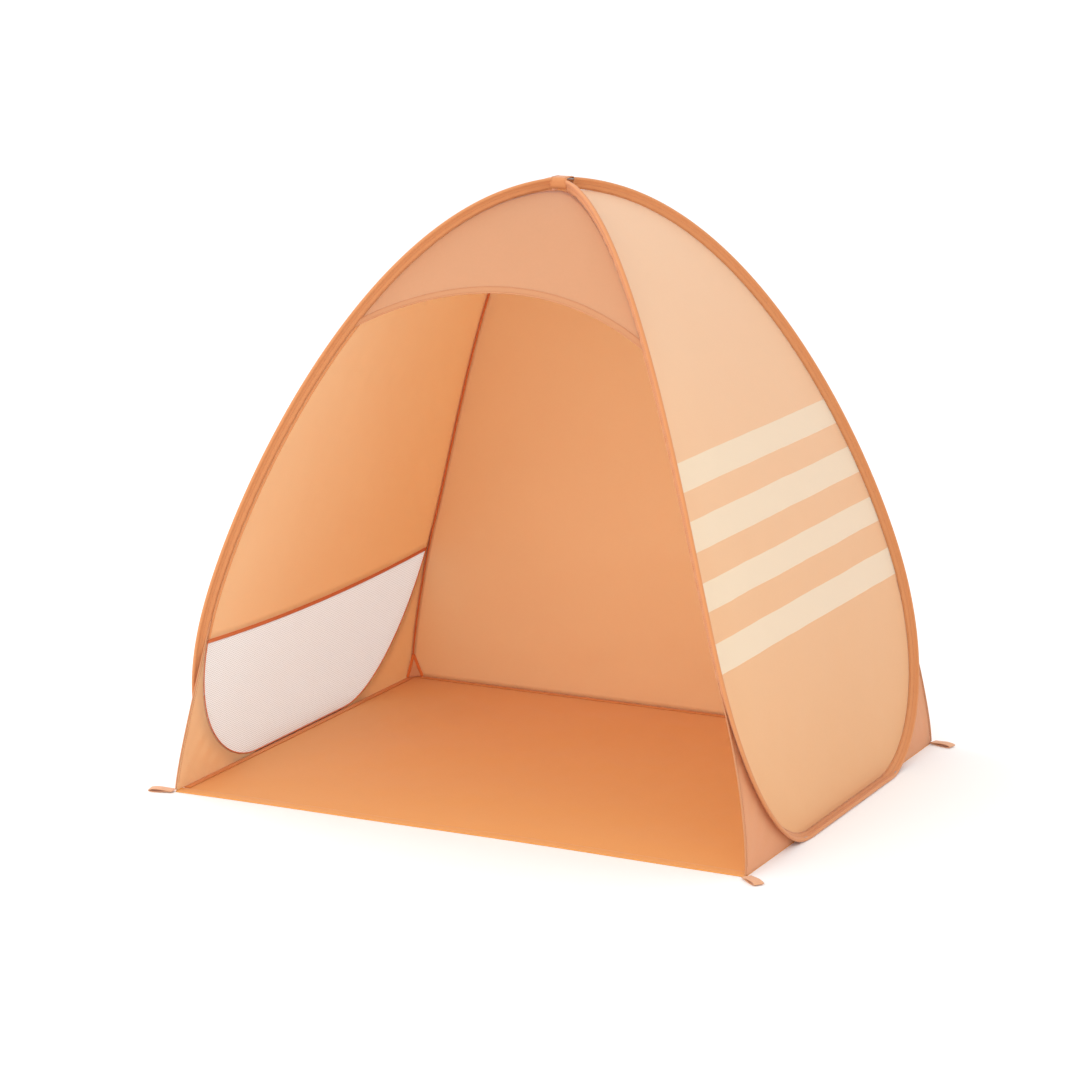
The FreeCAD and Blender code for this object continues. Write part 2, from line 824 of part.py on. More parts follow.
def build():
    """Make every sub-part."""
    for word, side in (("left", -1), ("right", 1)):
        hoop_rod(f"{word}_hoop_rod", side)
        hoop_sleeve(f"{word}_hoop_sleeve", side)
        for place, end in (("front", -1), ("back", 1)):
            gusset(f"{place}_{word}_gusset", side, end)
            seam_binding(f"{place}_{word}_seam_binding", side, end)
    rod_ferrule()
    crown_tab()
    right_side_panel()
    left_side_panel()
    left_window_binding()
    left_mesh_window()
    back_panel()
    front_fascia()
    front_fascia_hem()
    floor_sheet()
    floor_front_hem()
    floor_seam_tape()
    for name, (side, end, turn) in LOOP_TURNS.items():
        peg_loop(name, side, end, turn)


def sub_parts():
    """Return the objects that are sub-parts: the bodies and the code-made features."""
    kinds = ("PartDesign::Body", "Part::Feature")
    return [o for o in doc.Objects if o.TypeId in kinds and o.InList == []]


def check():
    """Stop where an object failed or a sub-part has no sound shape."""
    for item in doc.Objects:
        for state in ("Invalid", "Error"):
            if state in item.State:
                raise RuntimeError(f"{item.Label} failed: {item.State}")
    for item in sub_parts():
        if item.Shape.isNull() or not item.Shape.isValid() or not item.Shape.Solids:
            raise RuntimeError(f"{item.Label} has no sound solid")


# walls whose ruled faces are written as spline faces, which mesh with far fewer triangles
ONE_CURVE_WALLS = ("back_panel",)

build()
doc.recompute()
check()
os.makedirs("parts", exist_ok=True)
for item in sub_parts():
    shape = item.Shape.toNurbs() if item.Label in ONE_CURVE_WALLS else item.Shape
    shape.exportStep(os.path.join("parts", f"{item.Label}.step"))
    box = item.Shape.BoundBox
    print(f"{item.Label:28s} solids {len(item.Shape.Solids)} volume {item.Shape.Volume:10.0f} "
          f"x {box.XMin:8.1f} {box.XMax:8.1f} y {box.YMin:8.1f} {box.YMax:8.1f} "
          f"z {box.ZMin:8.1f} {box.ZMax:8.1f}")
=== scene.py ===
"""Looks of a child's pop-up beach shelter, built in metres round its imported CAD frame.

The shelter is a vault of two families of cloth. The side cloths are ruled along Y over one side
curve, and the back cloth and the front fascia are ruled along X over the hoop's outline. The ribs
lie where the two families meet, and each carries a channel tape round the spring wire.
"""

import logging
import math
from dataclasses import dataclass, field
from enum import Enum

import bpy
import numpy as np
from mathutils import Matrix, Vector


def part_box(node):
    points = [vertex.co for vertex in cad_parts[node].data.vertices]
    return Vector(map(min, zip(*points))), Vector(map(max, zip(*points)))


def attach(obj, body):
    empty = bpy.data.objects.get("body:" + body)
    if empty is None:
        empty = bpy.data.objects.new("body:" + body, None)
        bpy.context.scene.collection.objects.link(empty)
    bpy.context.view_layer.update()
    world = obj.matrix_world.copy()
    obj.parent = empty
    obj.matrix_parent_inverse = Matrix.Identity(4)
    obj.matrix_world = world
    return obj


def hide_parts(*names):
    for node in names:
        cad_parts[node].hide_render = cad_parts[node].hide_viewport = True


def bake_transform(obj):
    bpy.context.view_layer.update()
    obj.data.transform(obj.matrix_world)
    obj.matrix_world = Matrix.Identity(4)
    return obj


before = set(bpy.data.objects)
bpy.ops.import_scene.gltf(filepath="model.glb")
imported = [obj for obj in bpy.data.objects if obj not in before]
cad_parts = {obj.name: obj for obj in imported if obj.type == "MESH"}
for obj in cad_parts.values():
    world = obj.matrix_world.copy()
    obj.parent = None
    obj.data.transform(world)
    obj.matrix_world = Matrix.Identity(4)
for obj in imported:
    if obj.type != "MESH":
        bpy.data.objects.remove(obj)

logging.basicConfig(level=logging.INFO, format="%(name)s: %(message)s")
log = logging.getLogger("shelter")

Array = np.ndarray
LEFT_BODY = "left_hoop"
RIGHT_BODY = "right_hoop"
FOLD_HEIGHT = 1.1135
ROW_SPACING = 0.0105
THREAD_SPACING = 0.006
SKIRT_LEVEL = 0.0019


class Side(Enum):
    """The two hoops, each with its sign along X and its CAD body."""

    LEFT = (-1.0, LEFT_BODY)
    RIGHT = (1.0, RIGHT_BODY)

    @property
    def sign(self) -> float:
        """Return the side's sign along X."""
        return self.value[0]

    @property
    def body(self) -> str:
        """Return the CAD body the side's pieces ride on."""
        return self.value[1]

    @property
    def word(self) -> str:
        """Return the side's name in node names."""
        return self.name.lower()


class End(Enum):
    """The doorway end and the back end, each with its sign along Y."""

    FRONT = -1.0
    BACK = 1.0

    @property
    def word(self) -> str:
        """Return the end's name in node names."""
        return self.name.lower()


class Weave(Enum):
    """The plane a cloth's threads run in, as the axes that its two thread waves follow."""

    SIDE_WALL = ("Y", "Z")
    CROSS_WALL = ("X", "Z")
    FLOOR = ("X", "Y")


# ---------------------------------------------------------------------------------------------
# The shelter's form
# ---------------------------------------------------------------------------------------------

def cubic(poles: Array, share: Array) -> Array:
    """Return points of a cubic curve.

    Args:
        poles: Four poles, one a row.
        share: Places along the curve, from 0 to 1.

    Returns:
        One point a row.
    """
    t = np.asarray(share, float)[:, None]
    weights = np.hstack([(1 - t) ** 3, 3 * t * (1 - t) ** 2, 3 * t ** 2 * (1 - t), t ** 3])
    return weights @ np.asarray(poles, float)


def unit(vectors: Array) -> Array:
    """Return vectors scaled to length 1, row by row."""
    return vectors / np.maximum(np.linalg.norm(vectors, axis=-1, keepdims=True), 1e-12)


def smooth(value: Array) -> Array:
    """Return value clipped to 0..1 and eased at both ends."""
    t = np.clip(value, 0.0, 1.0)
    return t * t * (3 - 2 * t)


def along_path(points: Array, spacing: float) -> Array:
    """Return a path's points set out evenly.

    Args:
        points: The path, one point a row.
        spacing: Rough distance between new points.

    Returns:
        The new points, with both ends kept.
    """
    steps = np.linalg.norm(np.diff(points, axis=0), axis=1)
    run = np.concatenate([[0.0], np.cumsum(steps)])
    count = max(2, int(round(run[-1] / spacing)) + 1)
    places = np.linspace(0.0, run[-1], count)
    return np.stack([np.interp(places, run, column) for column in points.T], axis=1)


def set_out(seam: Array, outward: Array, spacing: float) -> tuple[Array, Array, float]:
    """Set out a seam and its outward directions evenly.

    Args:
        seam: Points of the seam.
        outward: A direction at each point.
        spacing: Rough distance between new points.

    Returns:
        The new points, the directions there, and the seam's length.
    """
    steps = np.linalg.norm(np.diff(seam, axis=0), axis=1)
    run = np.concatenate([[0.0], np.cumsum(steps)])
    places = np.linspace(0, run[-1], int(run[-1] / spacing))
    both = np.stack([np.interp(places, run, column)
                     for column in np.hstack([seam, outward]).T], axis=1)
    return both[:, :3], both[:, 3:], float(run[-1])


def squared(line: Array, out: Array) -> tuple[Array, Array]:
    """Turn outward directions square to a line.

    Args:
        line: Points of the line.
        out: Rough outward directions there.

    Returns:
        The outward directions and the sideways directions.
    """
    along = unit(np.gradient(line, axis=0))
    out = unit(out - along * np.sum(out * along, axis=1, keepdims=True))
    return out, np.cross(along, out)


def squashed(wave: Array, power: float) -> Array:
    """Return a wave with its sign kept and its size raised to a power."""
    return np.sign(wave) * np.abs(wave) ** power


def pressed_oval(count: int, half: tuple[float, float], power: tuple[float, float]) -> Array:
    """Return the outline of a tape pressed flat.

    Args:
        count: Number of points.
        half: Half of its width and half of its thickness.
        power: How square it is across and through; smaller is squarer.

    Returns:
        Pairs of distances across and through.
    """
    turns = np.linspace(0, 2 * math.pi, count + 1)[:-1]
    return np.stack([half[0] * squashed(np.cos(turns), power[0]),
                     half[1] * squashed(np.sin(turns), power[1])], axis=1)


@dataclass
class Form:
    """The shelter's curves, with sizes in metres.

    half_width, half_depth and the floor's size come from the frame; the rest are the curves' own.
    """

    half_width: float = 0.575
    half_depth: float = 0.4625
    height: float = 1.105
    reach: float = 0.431
    belly: float = 0.331
    heel: float = 0.122
    sole_reach: float = 0.172
    sole_lift: float = 0.005
    tape_width: float = 0.022
    tube_radius: float = 0.0042
    side_table: Array = field(init=False)
    arch_table: Array = field(init=False)
    heel_table: Array = field(init=False)

    def __post_init__(self) -> None:
        """Work out dense tables of the side curve and of the hoop's outline."""
        share = np.linspace(0.0, 1.0, 801)
        w, h, r = self.half_width, self.height, self.reach
        self.side_table = cubic(
            np.array([(0, h), (0.577 * w, h), (w, 0.15 * h), (w, 0.002)]), share)
        self.arch_table = cubic(
            np.array([(0, h), (0.55 * r, h), (r, 0.5 * h), (r, self.belly)]), share)
        self.heel_table = cubic(
            np.array([(r, self.belly), (r, self.heel), (0.68 * r, self.sole_lift),
                      (self.sole_reach, self.sole_lift)]), share)

    @classmethod
    def from_frame(cls) -> "Form":
        """Return the form with its floor as large as the frame's."""
        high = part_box("floor_sheet")[1]
        return cls(half_width=float(high[0]), half_depth=float(high[1]))

    @property
    def wire_stand(self) -> float:
        """Return how far the wire stands out from its seam."""
        return self.tape_width - self.tube_radius

    def side_x(self, level: Array) -> Array:
        """Return the side curve's distance from the middle at heights."""
        table = self.side_table[::-1]
        return np.interp(level, table[:, 1], table[:, 0])

    def side_z(self, across: Array) -> Array:
        """Return the side curve's height at distances from the middle."""
        return np.interp(np.abs(across), self.side_table[:, 0], self.side_table[:, 1])

    def side_normal(self, level: Array) -> Array:
        """Return outward normals of the right side cloth.

        Args:
            level: Heights.

        Returns:
            Normals in X and Z.
        """
        step = 1e-3
        low, high = np.maximum(level - step, 0.002), np.minimum(level + step, self.height)
        slope = (self.side_x(high) - self.side_x(low)) / np.maximum(high - low, 1e-9)
        return unit(np.stack([np.ones_like(slope), -slope], axis=-1))

    def arch_y(self, level: Array) -> Array:
        """Return the upper outline's distance from the middle at heights above the belly."""
        table = self.arch_table[::-1]
        return np.interp(level, table[:, 1], table[:, 0])

    def hoop_y(self, level: Array) -> Array:
        """Return the whole hoop's distance from the middle at heights."""
        heel = self.heel_table[::-1]
        lower = np.interp(level, heel[:, 1], heel[:, 0])
        return np.where(level >= self.belly, self.arch_y(level), lower)

    def outline(self) -> tuple[Array, Array]:
        """Return the hoop's outline from the crown down to the sole's middle.

        Returns:
            Points in Y and Z, and their outward normals in Y and Z.
        """
        sole = np.stack([np.linspace(self.sole_reach, 0.0, 40), np.full(40, self.sole_lift)], 1)
        points = np.vstack([self.arch_table, self.heel_table[1:], sole[1:]])
        slope = unit(np.gradient(points, axis=0))
        return points, np.stack([-slope[:, 1], slope[:, 0]], axis=1)

    def seam(self, side: Side, end: End, top: float) -> tuple[Array, Array]:
        """Return one rib's seam from near the crown to the sole's middle.

        Args:
            side: The rib's hoop.
            end: The rib's end of the hoop.
            top: Distance of the seam's start from the fold's plane.

        Returns:
            Points of the seam, and the outward directions of the tape there.
        """
        points, normals = self.outline()
        level = points[:, 1]
        across = self.side_x(level)
        keep = across >= top
        keep[800:] = True
        points, normals, level, across = points[keep], normals[keep], level[keep], across[keep]
        wall = self.side_normal(level)
        outward = np.stack([wall[:, 0], normals[:, 0], wall[:, 1] + normals[:, 1]], axis=1)
        outward = unit(outward)
        drop = (self.tube_radius - level) / self.wire_stand
        sinks = outward[:, 2] < drop
        lie = np.clip(drop, -0.99, 0.99)
        flat_run = np.maximum(np.hypot(outward[:, 0], outward[:, 1]), 1e-9)
        spread = np.sqrt(1 - lie ** 2) / flat_run
        outward[sinks, 0] *= spread[sinks]
        outward[sinks, 1] *= spread[sinks]
        outward[sinks, 2] = lie[sinks]
        turn = np.array([side.sign, end.value, 1.0])
        seam = np.stack([across, points[:, 0], level], axis=1) * turn
        return seam, outward * turn

    def corner_y(self, level: Array) -> Array:
        """Return the back wall's distance from the middle below the belly at heights."""
        share = np.clip((self.belly - level) / (self.belly - 0.002), 0.0, 1.0)
        return self.reach + (self.half_depth - self.reach) * share

    def wall_y(self, level: Array) -> Array:
        """Return the back wall's distance from the middle at any height."""
        return np.where(level >= self.belly, self.arch_y(level), self.corner_y(level))


# ---------------------------------------------------------------------------------------------
# Mesh tools
# ---------------------------------------------------------------------------------------------

@dataclass
class Slack:
    """Small waves of a cloth that hangs between tight seams.

    Attributes:
        lift: Greatest height of the broad billow, in metres.
        crease: Greatest height of the finer pulls that run from the seams.
        seed: Number that sets where the waves fall.
    """

    lift: float = 0.004
    crease: float = 0.0012
    seed: int = 1

    def waves(self, across: Array, along: Array) -> Array:
        """Return heights of the waves.

        Args:
            across: Places across the cloth, in metres.
            along: Places along the cloth, in metres.

        Returns:
            Heights between about -1 and 1 times crease, plus broad waves of lift.
        """
        rng = np.random.default_rng(self.seed)
        total = np.zeros(np.broadcast(across, along).shape)
        for octave in range(5):
            size = 0.42 / 1.7 ** octave
            for _ in range(3):
                turn = rng.uniform(0, math.pi)
                phase = rng.uniform(0, 2 * math.pi)
                run = across * math.cos(turn) + along * math.sin(turn)
                total += np.sin(2 * math.pi * run / size + phase) / (3 * 1.6 ** octave)
        fine = np.zeros_like(total)
        for _ in range(6):
            turn = rng.uniform(0.2, 1.35)
            phase = rng.uniform(0, 2 * math.pi)
            size = rng.uniform(0.035, 0.09)
            run = across * math.cos(turn) + along * math.sin(turn)
            gate = np.sin(2 * math.pi * (across * 0.9 - along * 0.7) / 0.5 + phase) ** 2
            fine += gate * np.sin(2 * math.pi * run / size + phase) / 6
        return self.lift * total * 0.5 + self.crease * fine


def new_object(name: str, verts: Array, faces: list[tuple[int, ...]]) -> bpy.types.Object:
    """Make a smooth-shaded mesh object.

    Args:
        name: The piece's name.
        verts: One point a row, in metres.
        faces: Corner numbers of each face.

    Returns:
        The new object, linked to the scene.
    """
    mesh = bpy.data.meshes.new(name)
    mesh.from_pydata([tuple(p) for p in np.asarray(verts, float)], [], faces)
    mesh.update()
    mesh.polygons.foreach_set("use_smooth", [True] * len(mesh.polygons))
    piece = bpy.data.objects.new(name, mesh)
    bpy.context.scene.collection.objects.link(piece)
    return piece


def grid_faces(rows: int, cols: int, closed: bool = False) -> list[tuple[int, ...]]:
    """Return the quads of a grid of points, stored row by row.

    Args:
        rows: Number of rows.
        cols: Number of points in a row.
        closed: Whether each row is a ring.

    Returns:
        Corner numbers of each quad.
    """
    faces = []
    spans = cols if closed else cols - 1
    for i in range(rows - 1):
        for j in range(spans):
            k = (j + 1) % cols
            faces.append((i * cols + j, i * cols + k, (i + 1) * cols + k, (i + 1) * cols + j))
    return faces


def apply_modifiers(piece: bpy.types.Object) -> None:
    """Put a piece's modifiers into its mesh."""
    bpy.context.view_layer.update()
    graph = bpy.context.evaluated_depsgraph_get()
    made = bpy.data.meshes.new_from_object(piece.evaluated_get(graph))
    old = piece.data
    piece.modifiers.clear()
    piece.data = made
    bpy.data.meshes.remove(old)
    made.polygons.foreach_set("use_smooth", [True] * len(made.polygons))


def thicken(piece: bpy.types.Object, thickness: float) -> None:
    """Grow a single skin inwards, with a second material slot for its inner face."""
    for _ in range(2):
        piece.data.materials.append(None)
    solid = piece.modifiers.new("thickness", "SOLIDIFY")
    solid.material_offset = 1
    solid.thickness = thickness
    solid.offset = -1.0
    solid.use_even_offset = True
    apply_modifiers(piece)


def sheet_from_grid(name: str, points: Array, thickness: float,
                    outward: Array) -> bpy.types.Object:
    """Make a cloth from a grid of points on its outer face.

    Args:
        name: The piece's name.
        points: Rows by columns by 3.
        thickness: The cloth's thickness, grown inwards.
        outward: A direction that the outer face looks along, roughly.

    Returns:
        The new object.
    """
    rows, cols, _ = points.shape
    faces = grid_faces(rows, cols)
    middle = points[rows // 2, cols // 2]
    before, above = points[rows // 2, cols // 2 - 1], points[rows // 2 - 1, cols // 2]
    if np.dot(np.cross(middle - before, above - middle), outward) > 0:
        faces = [face[::-1] for face in faces]
    piece = new_object(name, points.reshape(-1, 3), faces)
    mesh = piece.data
    if sum(np.dot(np.array(p.normal), outward) * p.area for p in mesh.polygons) < 0:
        mesh.flip_normals()
    thicken(piece, thickness)
    return piece


def ring_faces(rows: int, cols: int, turned: bool = False) -> list[tuple[int, ...]]:
    """Return the faces of a run of rings, with both ends capped.

    Args:
        rows: Number of rings.
        cols: Number of points in a ring.
        turned: Whether the end caps turn over.

    Returns:
        Corner numbers of each face.
    """
    step = -1 if turned else 1
    caps = [tuple(range(cols))[::step], tuple(range((rows - 1) * cols, rows * cols))[::-step]]
    return grid_faces(rows, cols, closed=True) + caps


def ring_piece(name: str, rings: Array, turned: bool = False) -> bpy.types.Object:
    """Make a closed piece from rings by points by 3."""
    return new_object(name, rings.reshape(-1, 3), ring_faces(*rings.shape[:2], turned))


def rings_along(path: Array, out: Array, beside: Array, section: Array) -> Array:
    """Set a section's rings along a path.

    Args:
        path: The path's points.
        out: The section's first direction at each point.
        beside: The section's second direction at each point.
        section: The section's corners, as pairs along those directions.

    Returns:
        Rings by points by 3.
    """
    return (path[:, None] + out[:, None] * section[None, :, :1]
            + beside[:, None] * section[None, :, 1:])


def tube(path: Array, radius: float, sides: int = 6) -> tuple[Array, list[tuple[int, ...]]]:
    """Make a thin round thread along a path.

    Args:
        path: The path's points.
        radius: The thread's radius.
        sides: Number of its sides.

    Returns:
        Its points and its faces.
    """
    along = unit(np.gradient(path, axis=0))
    helper = np.where(np.abs(along[:, 2:]) < 0.9, [[0.0, 0.0, 1.0]], [[1.0, 0.0, 0.0]])
    first = unit(np.cross(along, helper))
    second = np.cross(along, first)
    turns = np.linspace(0, 2 * math.pi, sides, endpoint=False)
    ring = (first[:, None] * np.cos(turns)[None, :, None]
            + second[:, None] * np.sin(turns)[None, :, None])
    points = path[:, None, :] + ring * radius
    return points.reshape(-1, 3), ring_faces(len(path), sides)


def join_blocks(name: str, blocks: list[tuple[Array, list[tuple[int, ...]]]]) -> bpy.types.Object:
    """Join blocks of points and faces into one object.

    Args:
        name: The piece's name.
        blocks: Points and faces of each block.

    Returns:
        The new object.
    """
    verts, faces, total = [], [], 0
    for points, block in blocks:
        verts.append(points)
        faces.extend(tuple(i + total for i in face) for face in block)
        total += len(points)
    return new_object(name, np.vstack(verts), faces)


def stitch_line(name: str, paths: list[Array], pitch: float = 0.0036,
                radius: float = 0.00028) -> bpy.types.Object:
    """Make lockstitches along paths that lie on a cloth.

    Args:
        name: The piece's name.
        paths: The lines of stitching, each as points.
        pitch: Distance from one stitch to the next.
        radius: The thread's radius.

    Returns:
        One object that holds every stitch.
    """
    parts = 4
    blocks = []
    for path in paths:
        line = along_path(path, pitch / parts)
        blocks += [tube(line[start:start + parts], radius, 4)
                   for start in range(0, len(line) - parts, parts)]
    return join_blocks(name, blocks)


def fold_share(points: Array) -> Array:
    """Return how far each point follows the right hoop as the shelter folds.

    A point's share grows with its angle about the fold's line, from the left wall to the right wall
    at the same height.

    Args:
        points: One point a row.

    Returns:
        Shares from 0, on the left hoop, to 1, on the right.
    """
    level = np.clip(points[:, 2], 0.0, 1.10)
    wall = np.maximum(FORM.side_x(level), 1e-3)
    drop = np.maximum(FOLD_HEIGHT - points[:, 2], 1e-3)
    turn = np.arctan2(points[:, 0], drop)
    limit = np.arctan2(wall, drop)
    return np.clip((turn + limit) / (2 * limit), 0.0, 1.0)


def fan(piece: bpy.types.Object) -> None:
    """Bake a piece's place into its mesh, and work out each point's fold share, which is not kept.
    """
    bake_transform(piece)
    points = np.array([v.co for v in piece.data.vertices], float).reshape(-1, 3)
    share = fold_share(points).astype(np.float32)


FORM = Form.from_frame()


def declare(flat: tuple[float, float]) -> None:
    """Round the width and length of a piece's cut; nothing is kept.

    Every wall is ruled, so it unrolls without stretch and its cut has its own area.

    Args:
        flat: Width and length of the rectangle that the cut comes from.
    """
    flat = (round(flat[0], 4), round(flat[1], 4))


# ---------------------------------------------------------------------------------------------
# Finishes
# ---------------------------------------------------------------------------------------------

@dataclass(frozen=True)
class Paint:
    """A colour as it is seen, in 0..255 steps, with its linear form."""

    red: int
    green: int
    blue: int

    @property
    def linear(self) -> tuple[float, float, float, float]:
        """Return the colour in linear light."""
        shares = [step / 255 for step in (self.red, self.green, self.blue)]
        light = [v / 12.92 if v <= 0.04045 else ((v + 0.055) / 1.055) ** 2.4 for v in shares]
        return light[0], light[1], light[2], 1.0


class Nodes:
    """A material's node tree, with short ways to add and join nodes."""

    def __init__(self, name: str) -> None:
        """Make the material and clear its tree."""
        self.material = bpy.data.materials.new(name)
        self.material.use_nodes = True
        self.tree = self.material.node_tree
        self.tree.nodes.clear()

    def add(self, kind: str, **values: object) -> bpy.types.Node:
        """Add a node and set its properties."""
        node = self.tree.nodes.new(kind)
        for key, value in values.items():
            setattr(node, key, value)
        return node

    def join(self, source: bpy.types.NodeSocket, target: bpy.types.NodeSocket) -> None:
        """Link one socket to another."""
        self.tree.links.new(source, target)

    def feed(self, socket: bpy.types.NodeSocket, value: object) -> None:
        """Link a socket to another socket, or set its value."""
        if isinstance(value, bpy.types.NodeSocket):
            self.join(value, socket)
        else:
            socket.default_value = value

    def math(self, operation: str, first: object, second: object = 0.5) -> bpy.types.NodeSocket:
        """Add a Math node on two sockets or numbers and return its result."""
        node = self.add("ShaderNodeMath", operation=operation)
        for socket, value in zip(node.inputs, (first, second)):
            self.feed(socket, value)
        return node.outputs[0]

    def total(self, parts: list[tuple[object, float]]) -> bpy.types.NodeSocket:
        """Add up sockets, each times its own weight, and return the sum."""
        result = self.math("MULTIPLY", *parts[0])
        for part in parts[1:]:
            result = self.math("ADD", result, self.math("MULTIPLY", *part))
        return result

    def place(self) -> tuple[bpy.types.NodeSocket, bpy.types.Node]:
        """Return places on the object, whole and split into X, Y and Z."""
        whole = self.add("ShaderNodeTexCoord").outputs["Object"]
        split = self.add("ShaderNodeSeparateXYZ")
        self.join(whole, split.inputs[0])
        return whole, split

    def noise(self, whole: bpy.types.NodeSocket, scale: float,
              detail: float = 2.0) -> bpy.types.NodeSocket:
        """Add a noise of a scale and a detail and return its height."""
        node = self.add("ShaderNodeTexNoise")
        for name, value in (("Scale", scale), ("Detail", detail), ("Vector", whole)):
            self.feed(node.inputs[name], value)
        return node.outputs[0]

    def mix(self, share: object, first: object, second: object) -> bpy.types.NodeSocket:
        """Mix two colours by a share and return the result."""
        node = self.add("ShaderNodeMix", data_type="RGBA")
        for index, value in ((0, share), (6, first), (7, second)):
            self.feed(node.inputs[index], value)
        return node.outputs[2]

    def relief(self, height: bpy.types.NodeSocket, strength: float,
               depth: float) -> bpy.types.NodeSocket:
        """Add a bump of a strength and a depth and return its normal."""
        node = self.add("ShaderNodeBump")
        for name, value in (("Strength", strength), ("Distance", depth), ("Height", height)):
            self.feed(node.inputs[name], value)
        return node.outputs[0]

    def finish(self, looks: dict[str, object], glow: float = 0.0) -> bpy.types.Material:
        """Close the tree with its shader.

        Args:
            looks: Values or sockets of the shader's inputs, by name.
            glow: Share of the light that comes through.

        Returns:
            The finished material.
        """
        shader = self.add("ShaderNodeBsdfPrincipled")
        for name, value in looks.items():
            self.feed(shader.inputs[name], value)
        result = shader.outputs[0]
        if glow:
            through = self.add("ShaderNodeBsdfTranslucent")
            self.join(looks["Base Color"], through.inputs["Color"])
            blend = self.add("ShaderNodeMixShader")
            for index, value in enumerate((glow, result, through.outputs[0])):
                self.feed(blend.inputs[index], value)
            result = blend.outputs[0]
        self.join(result, self.add("ShaderNodeOutputMaterial").inputs["Surface"])
        return self.material


@dataclass(frozen=True)
class WovenCloth:
    """A thin coated plain weave that lets some light through.

    Attributes:
        name: The finish's name.
        colour: The cloth's main colour.
        shade: The colour in its slightly darker threads and folds.
        weave: The plane its threads run in.
        thread: Distance between threads, in metres.
        glow: Share of the light that comes through.
        bump: Depth of the weave's relief, in metres.
        bands: Heights of the pale bands, whether print or sewn, low and high, in metres.
        band_colour: The bands' colour.
        paler_up: How much paler the cloth is painted at the crown, as painted light.
    """

    name: str
    colour: Paint
    shade: Paint
    weave: Weave
    thread: float = 0.0011
    glow: float = 0.38
    bump: float = 0.00006
    roughness: float = 0.62
    sheen: float = 0.25
    bands: tuple[tuple[float, float], ...] = ()
    band_colour: Paint = Paint(243, 231, 209)
    paler_up: float = 0.0

    def threads(self, nodes: Nodes, place: bpy.types.Node) -> bpy.types.NodeSocket:
        """Return the relief of the weave: two sets of threads, over and under.

        Args:
            nodes: The material's nodes.
            place: The node that splits places on the object.

        Returns:
            The height of the threads.
        """
        scale = math.pi / self.thread
        waves = [nodes.math("SINE", nodes.math("MULTIPLY", place.outputs[axis], scale))
                 for axis in self.weave.value]
        over = nodes.math("MULTIPLY", *waves)
        return nodes.math("ADD", nodes.math("MULTIPLY", over, 0.5), 0.5)

    def printed(self, nodes: Nodes, level: bpy.types.NodeSocket,
                colour: bpy.types.NodeSocket) -> bpy.types.NodeSocket:
        """Return the colour with its bands, and with a paler crown painted in as light.

        Args:
            nodes: The material's nodes.
            level: Heights on the cloth.
            colour: The woven colour.

        Returns:
            The colour as printed.
        """
        # Painted light: the cloth is made paler towards the crown, as if lit more brightly there.
        if self.paler_up:
            rise = nodes.math("MULTIPLY", nodes.math("SUBTRACT", level, 0.05), 0.95)
            share = nodes.math("MULTIPLY", rise, self.paler_up)
            colour = nodes.mix(share, colour, (1.0, 0.93, 0.84, 1.0))
        for low, high in self.bands:
            away = nodes.math("ABSOLUTE", nodes.math("SUBTRACT", level, (low + high) / 2))
            inside = nodes.math("LESS_THAN", away, (high - low) / 2)
            colour = nodes.mix(inside, colour, self.band_colour.linear)
        return colour

    def make(self) -> bpy.types.Material:
        """Build the material."""
        nodes = Nodes(self.name)
        whole, place = nodes.place()
        height = self.threads(nodes, place)
        cloud, slub = nodes.noise(whole, 3.2, 3.0), nodes.noise(whole, 160.0)
        amount = nodes.total([(cloud, 0.34), (slub, 0.22), (height, 0.16)])
        woven = nodes.mix(nodes.math("SUBTRACT", amount, 0.12),
                          self.colour.linear, self.shade.linear)
        return nodes.finish({
            "Base Color": self.printed(nodes, place.outputs["Z"], woven),
            "Normal": nodes.relief(height, 0.6, self.bump),
            "Roughness": self.roughness, "Sheen Weight": self.sheen,
            "Sheen Roughness": 0.5, "Specular IOR Level": 0.28}, self.glow)


@dataclass(frozen=True)
class RibbonTape:
    """A narrow woven tape with fine ribs, such as binding, channel tape or webbing.

    Attributes:
        name: The finish's name.
        colour: The tape's main colour.
        shade: Its darker threads.
        rib: Distance between ribs, in metres.
        bump: Depth of the ribs, in metres.
    """

    name: str
    colour: Paint
    shade: Paint
    rib: float = 0.0009
    bump: float = 0.00008
    roughness: float = 0.7
    glow: float = 0.08

    def make(self) -> bpy.types.Material:
        """Build the material."""
        nodes = Nodes(self.name)
        whole, place = nodes.place()
        run = nodes.math("ADD", place.outputs["Z"],
                         nodes.math("MULTIPLY", place.outputs["Y"], 0.8))
        run = nodes.math("ADD", run, nodes.math("MULTIPLY", place.outputs["X"], 0.6))
        ribs = nodes.math("SINE", nodes.math("MULTIPLY", run, 2 * math.pi / self.rib))
        ribs = nodes.math("ADD", nodes.math("MULTIPLY", ribs, 0.5), 0.5)
        fleck, cloud = nodes.noise(whole, 240.0), nodes.noise(whole, 9.0)
        amount = nodes.total([(ribs, 0.22), (fleck, 0.25), (cloud, 0.25)])
        return nodes.finish({
            "Base Color": nodes.mix(amount, self.colour.linear, self.shade.linear),
            "Normal": nodes.relief(ribs, 0.7, self.bump),
            "Roughness": self.roughness, "Sheen Weight": 0.2,
            "Specular IOR Level": 0.3}, self.glow)


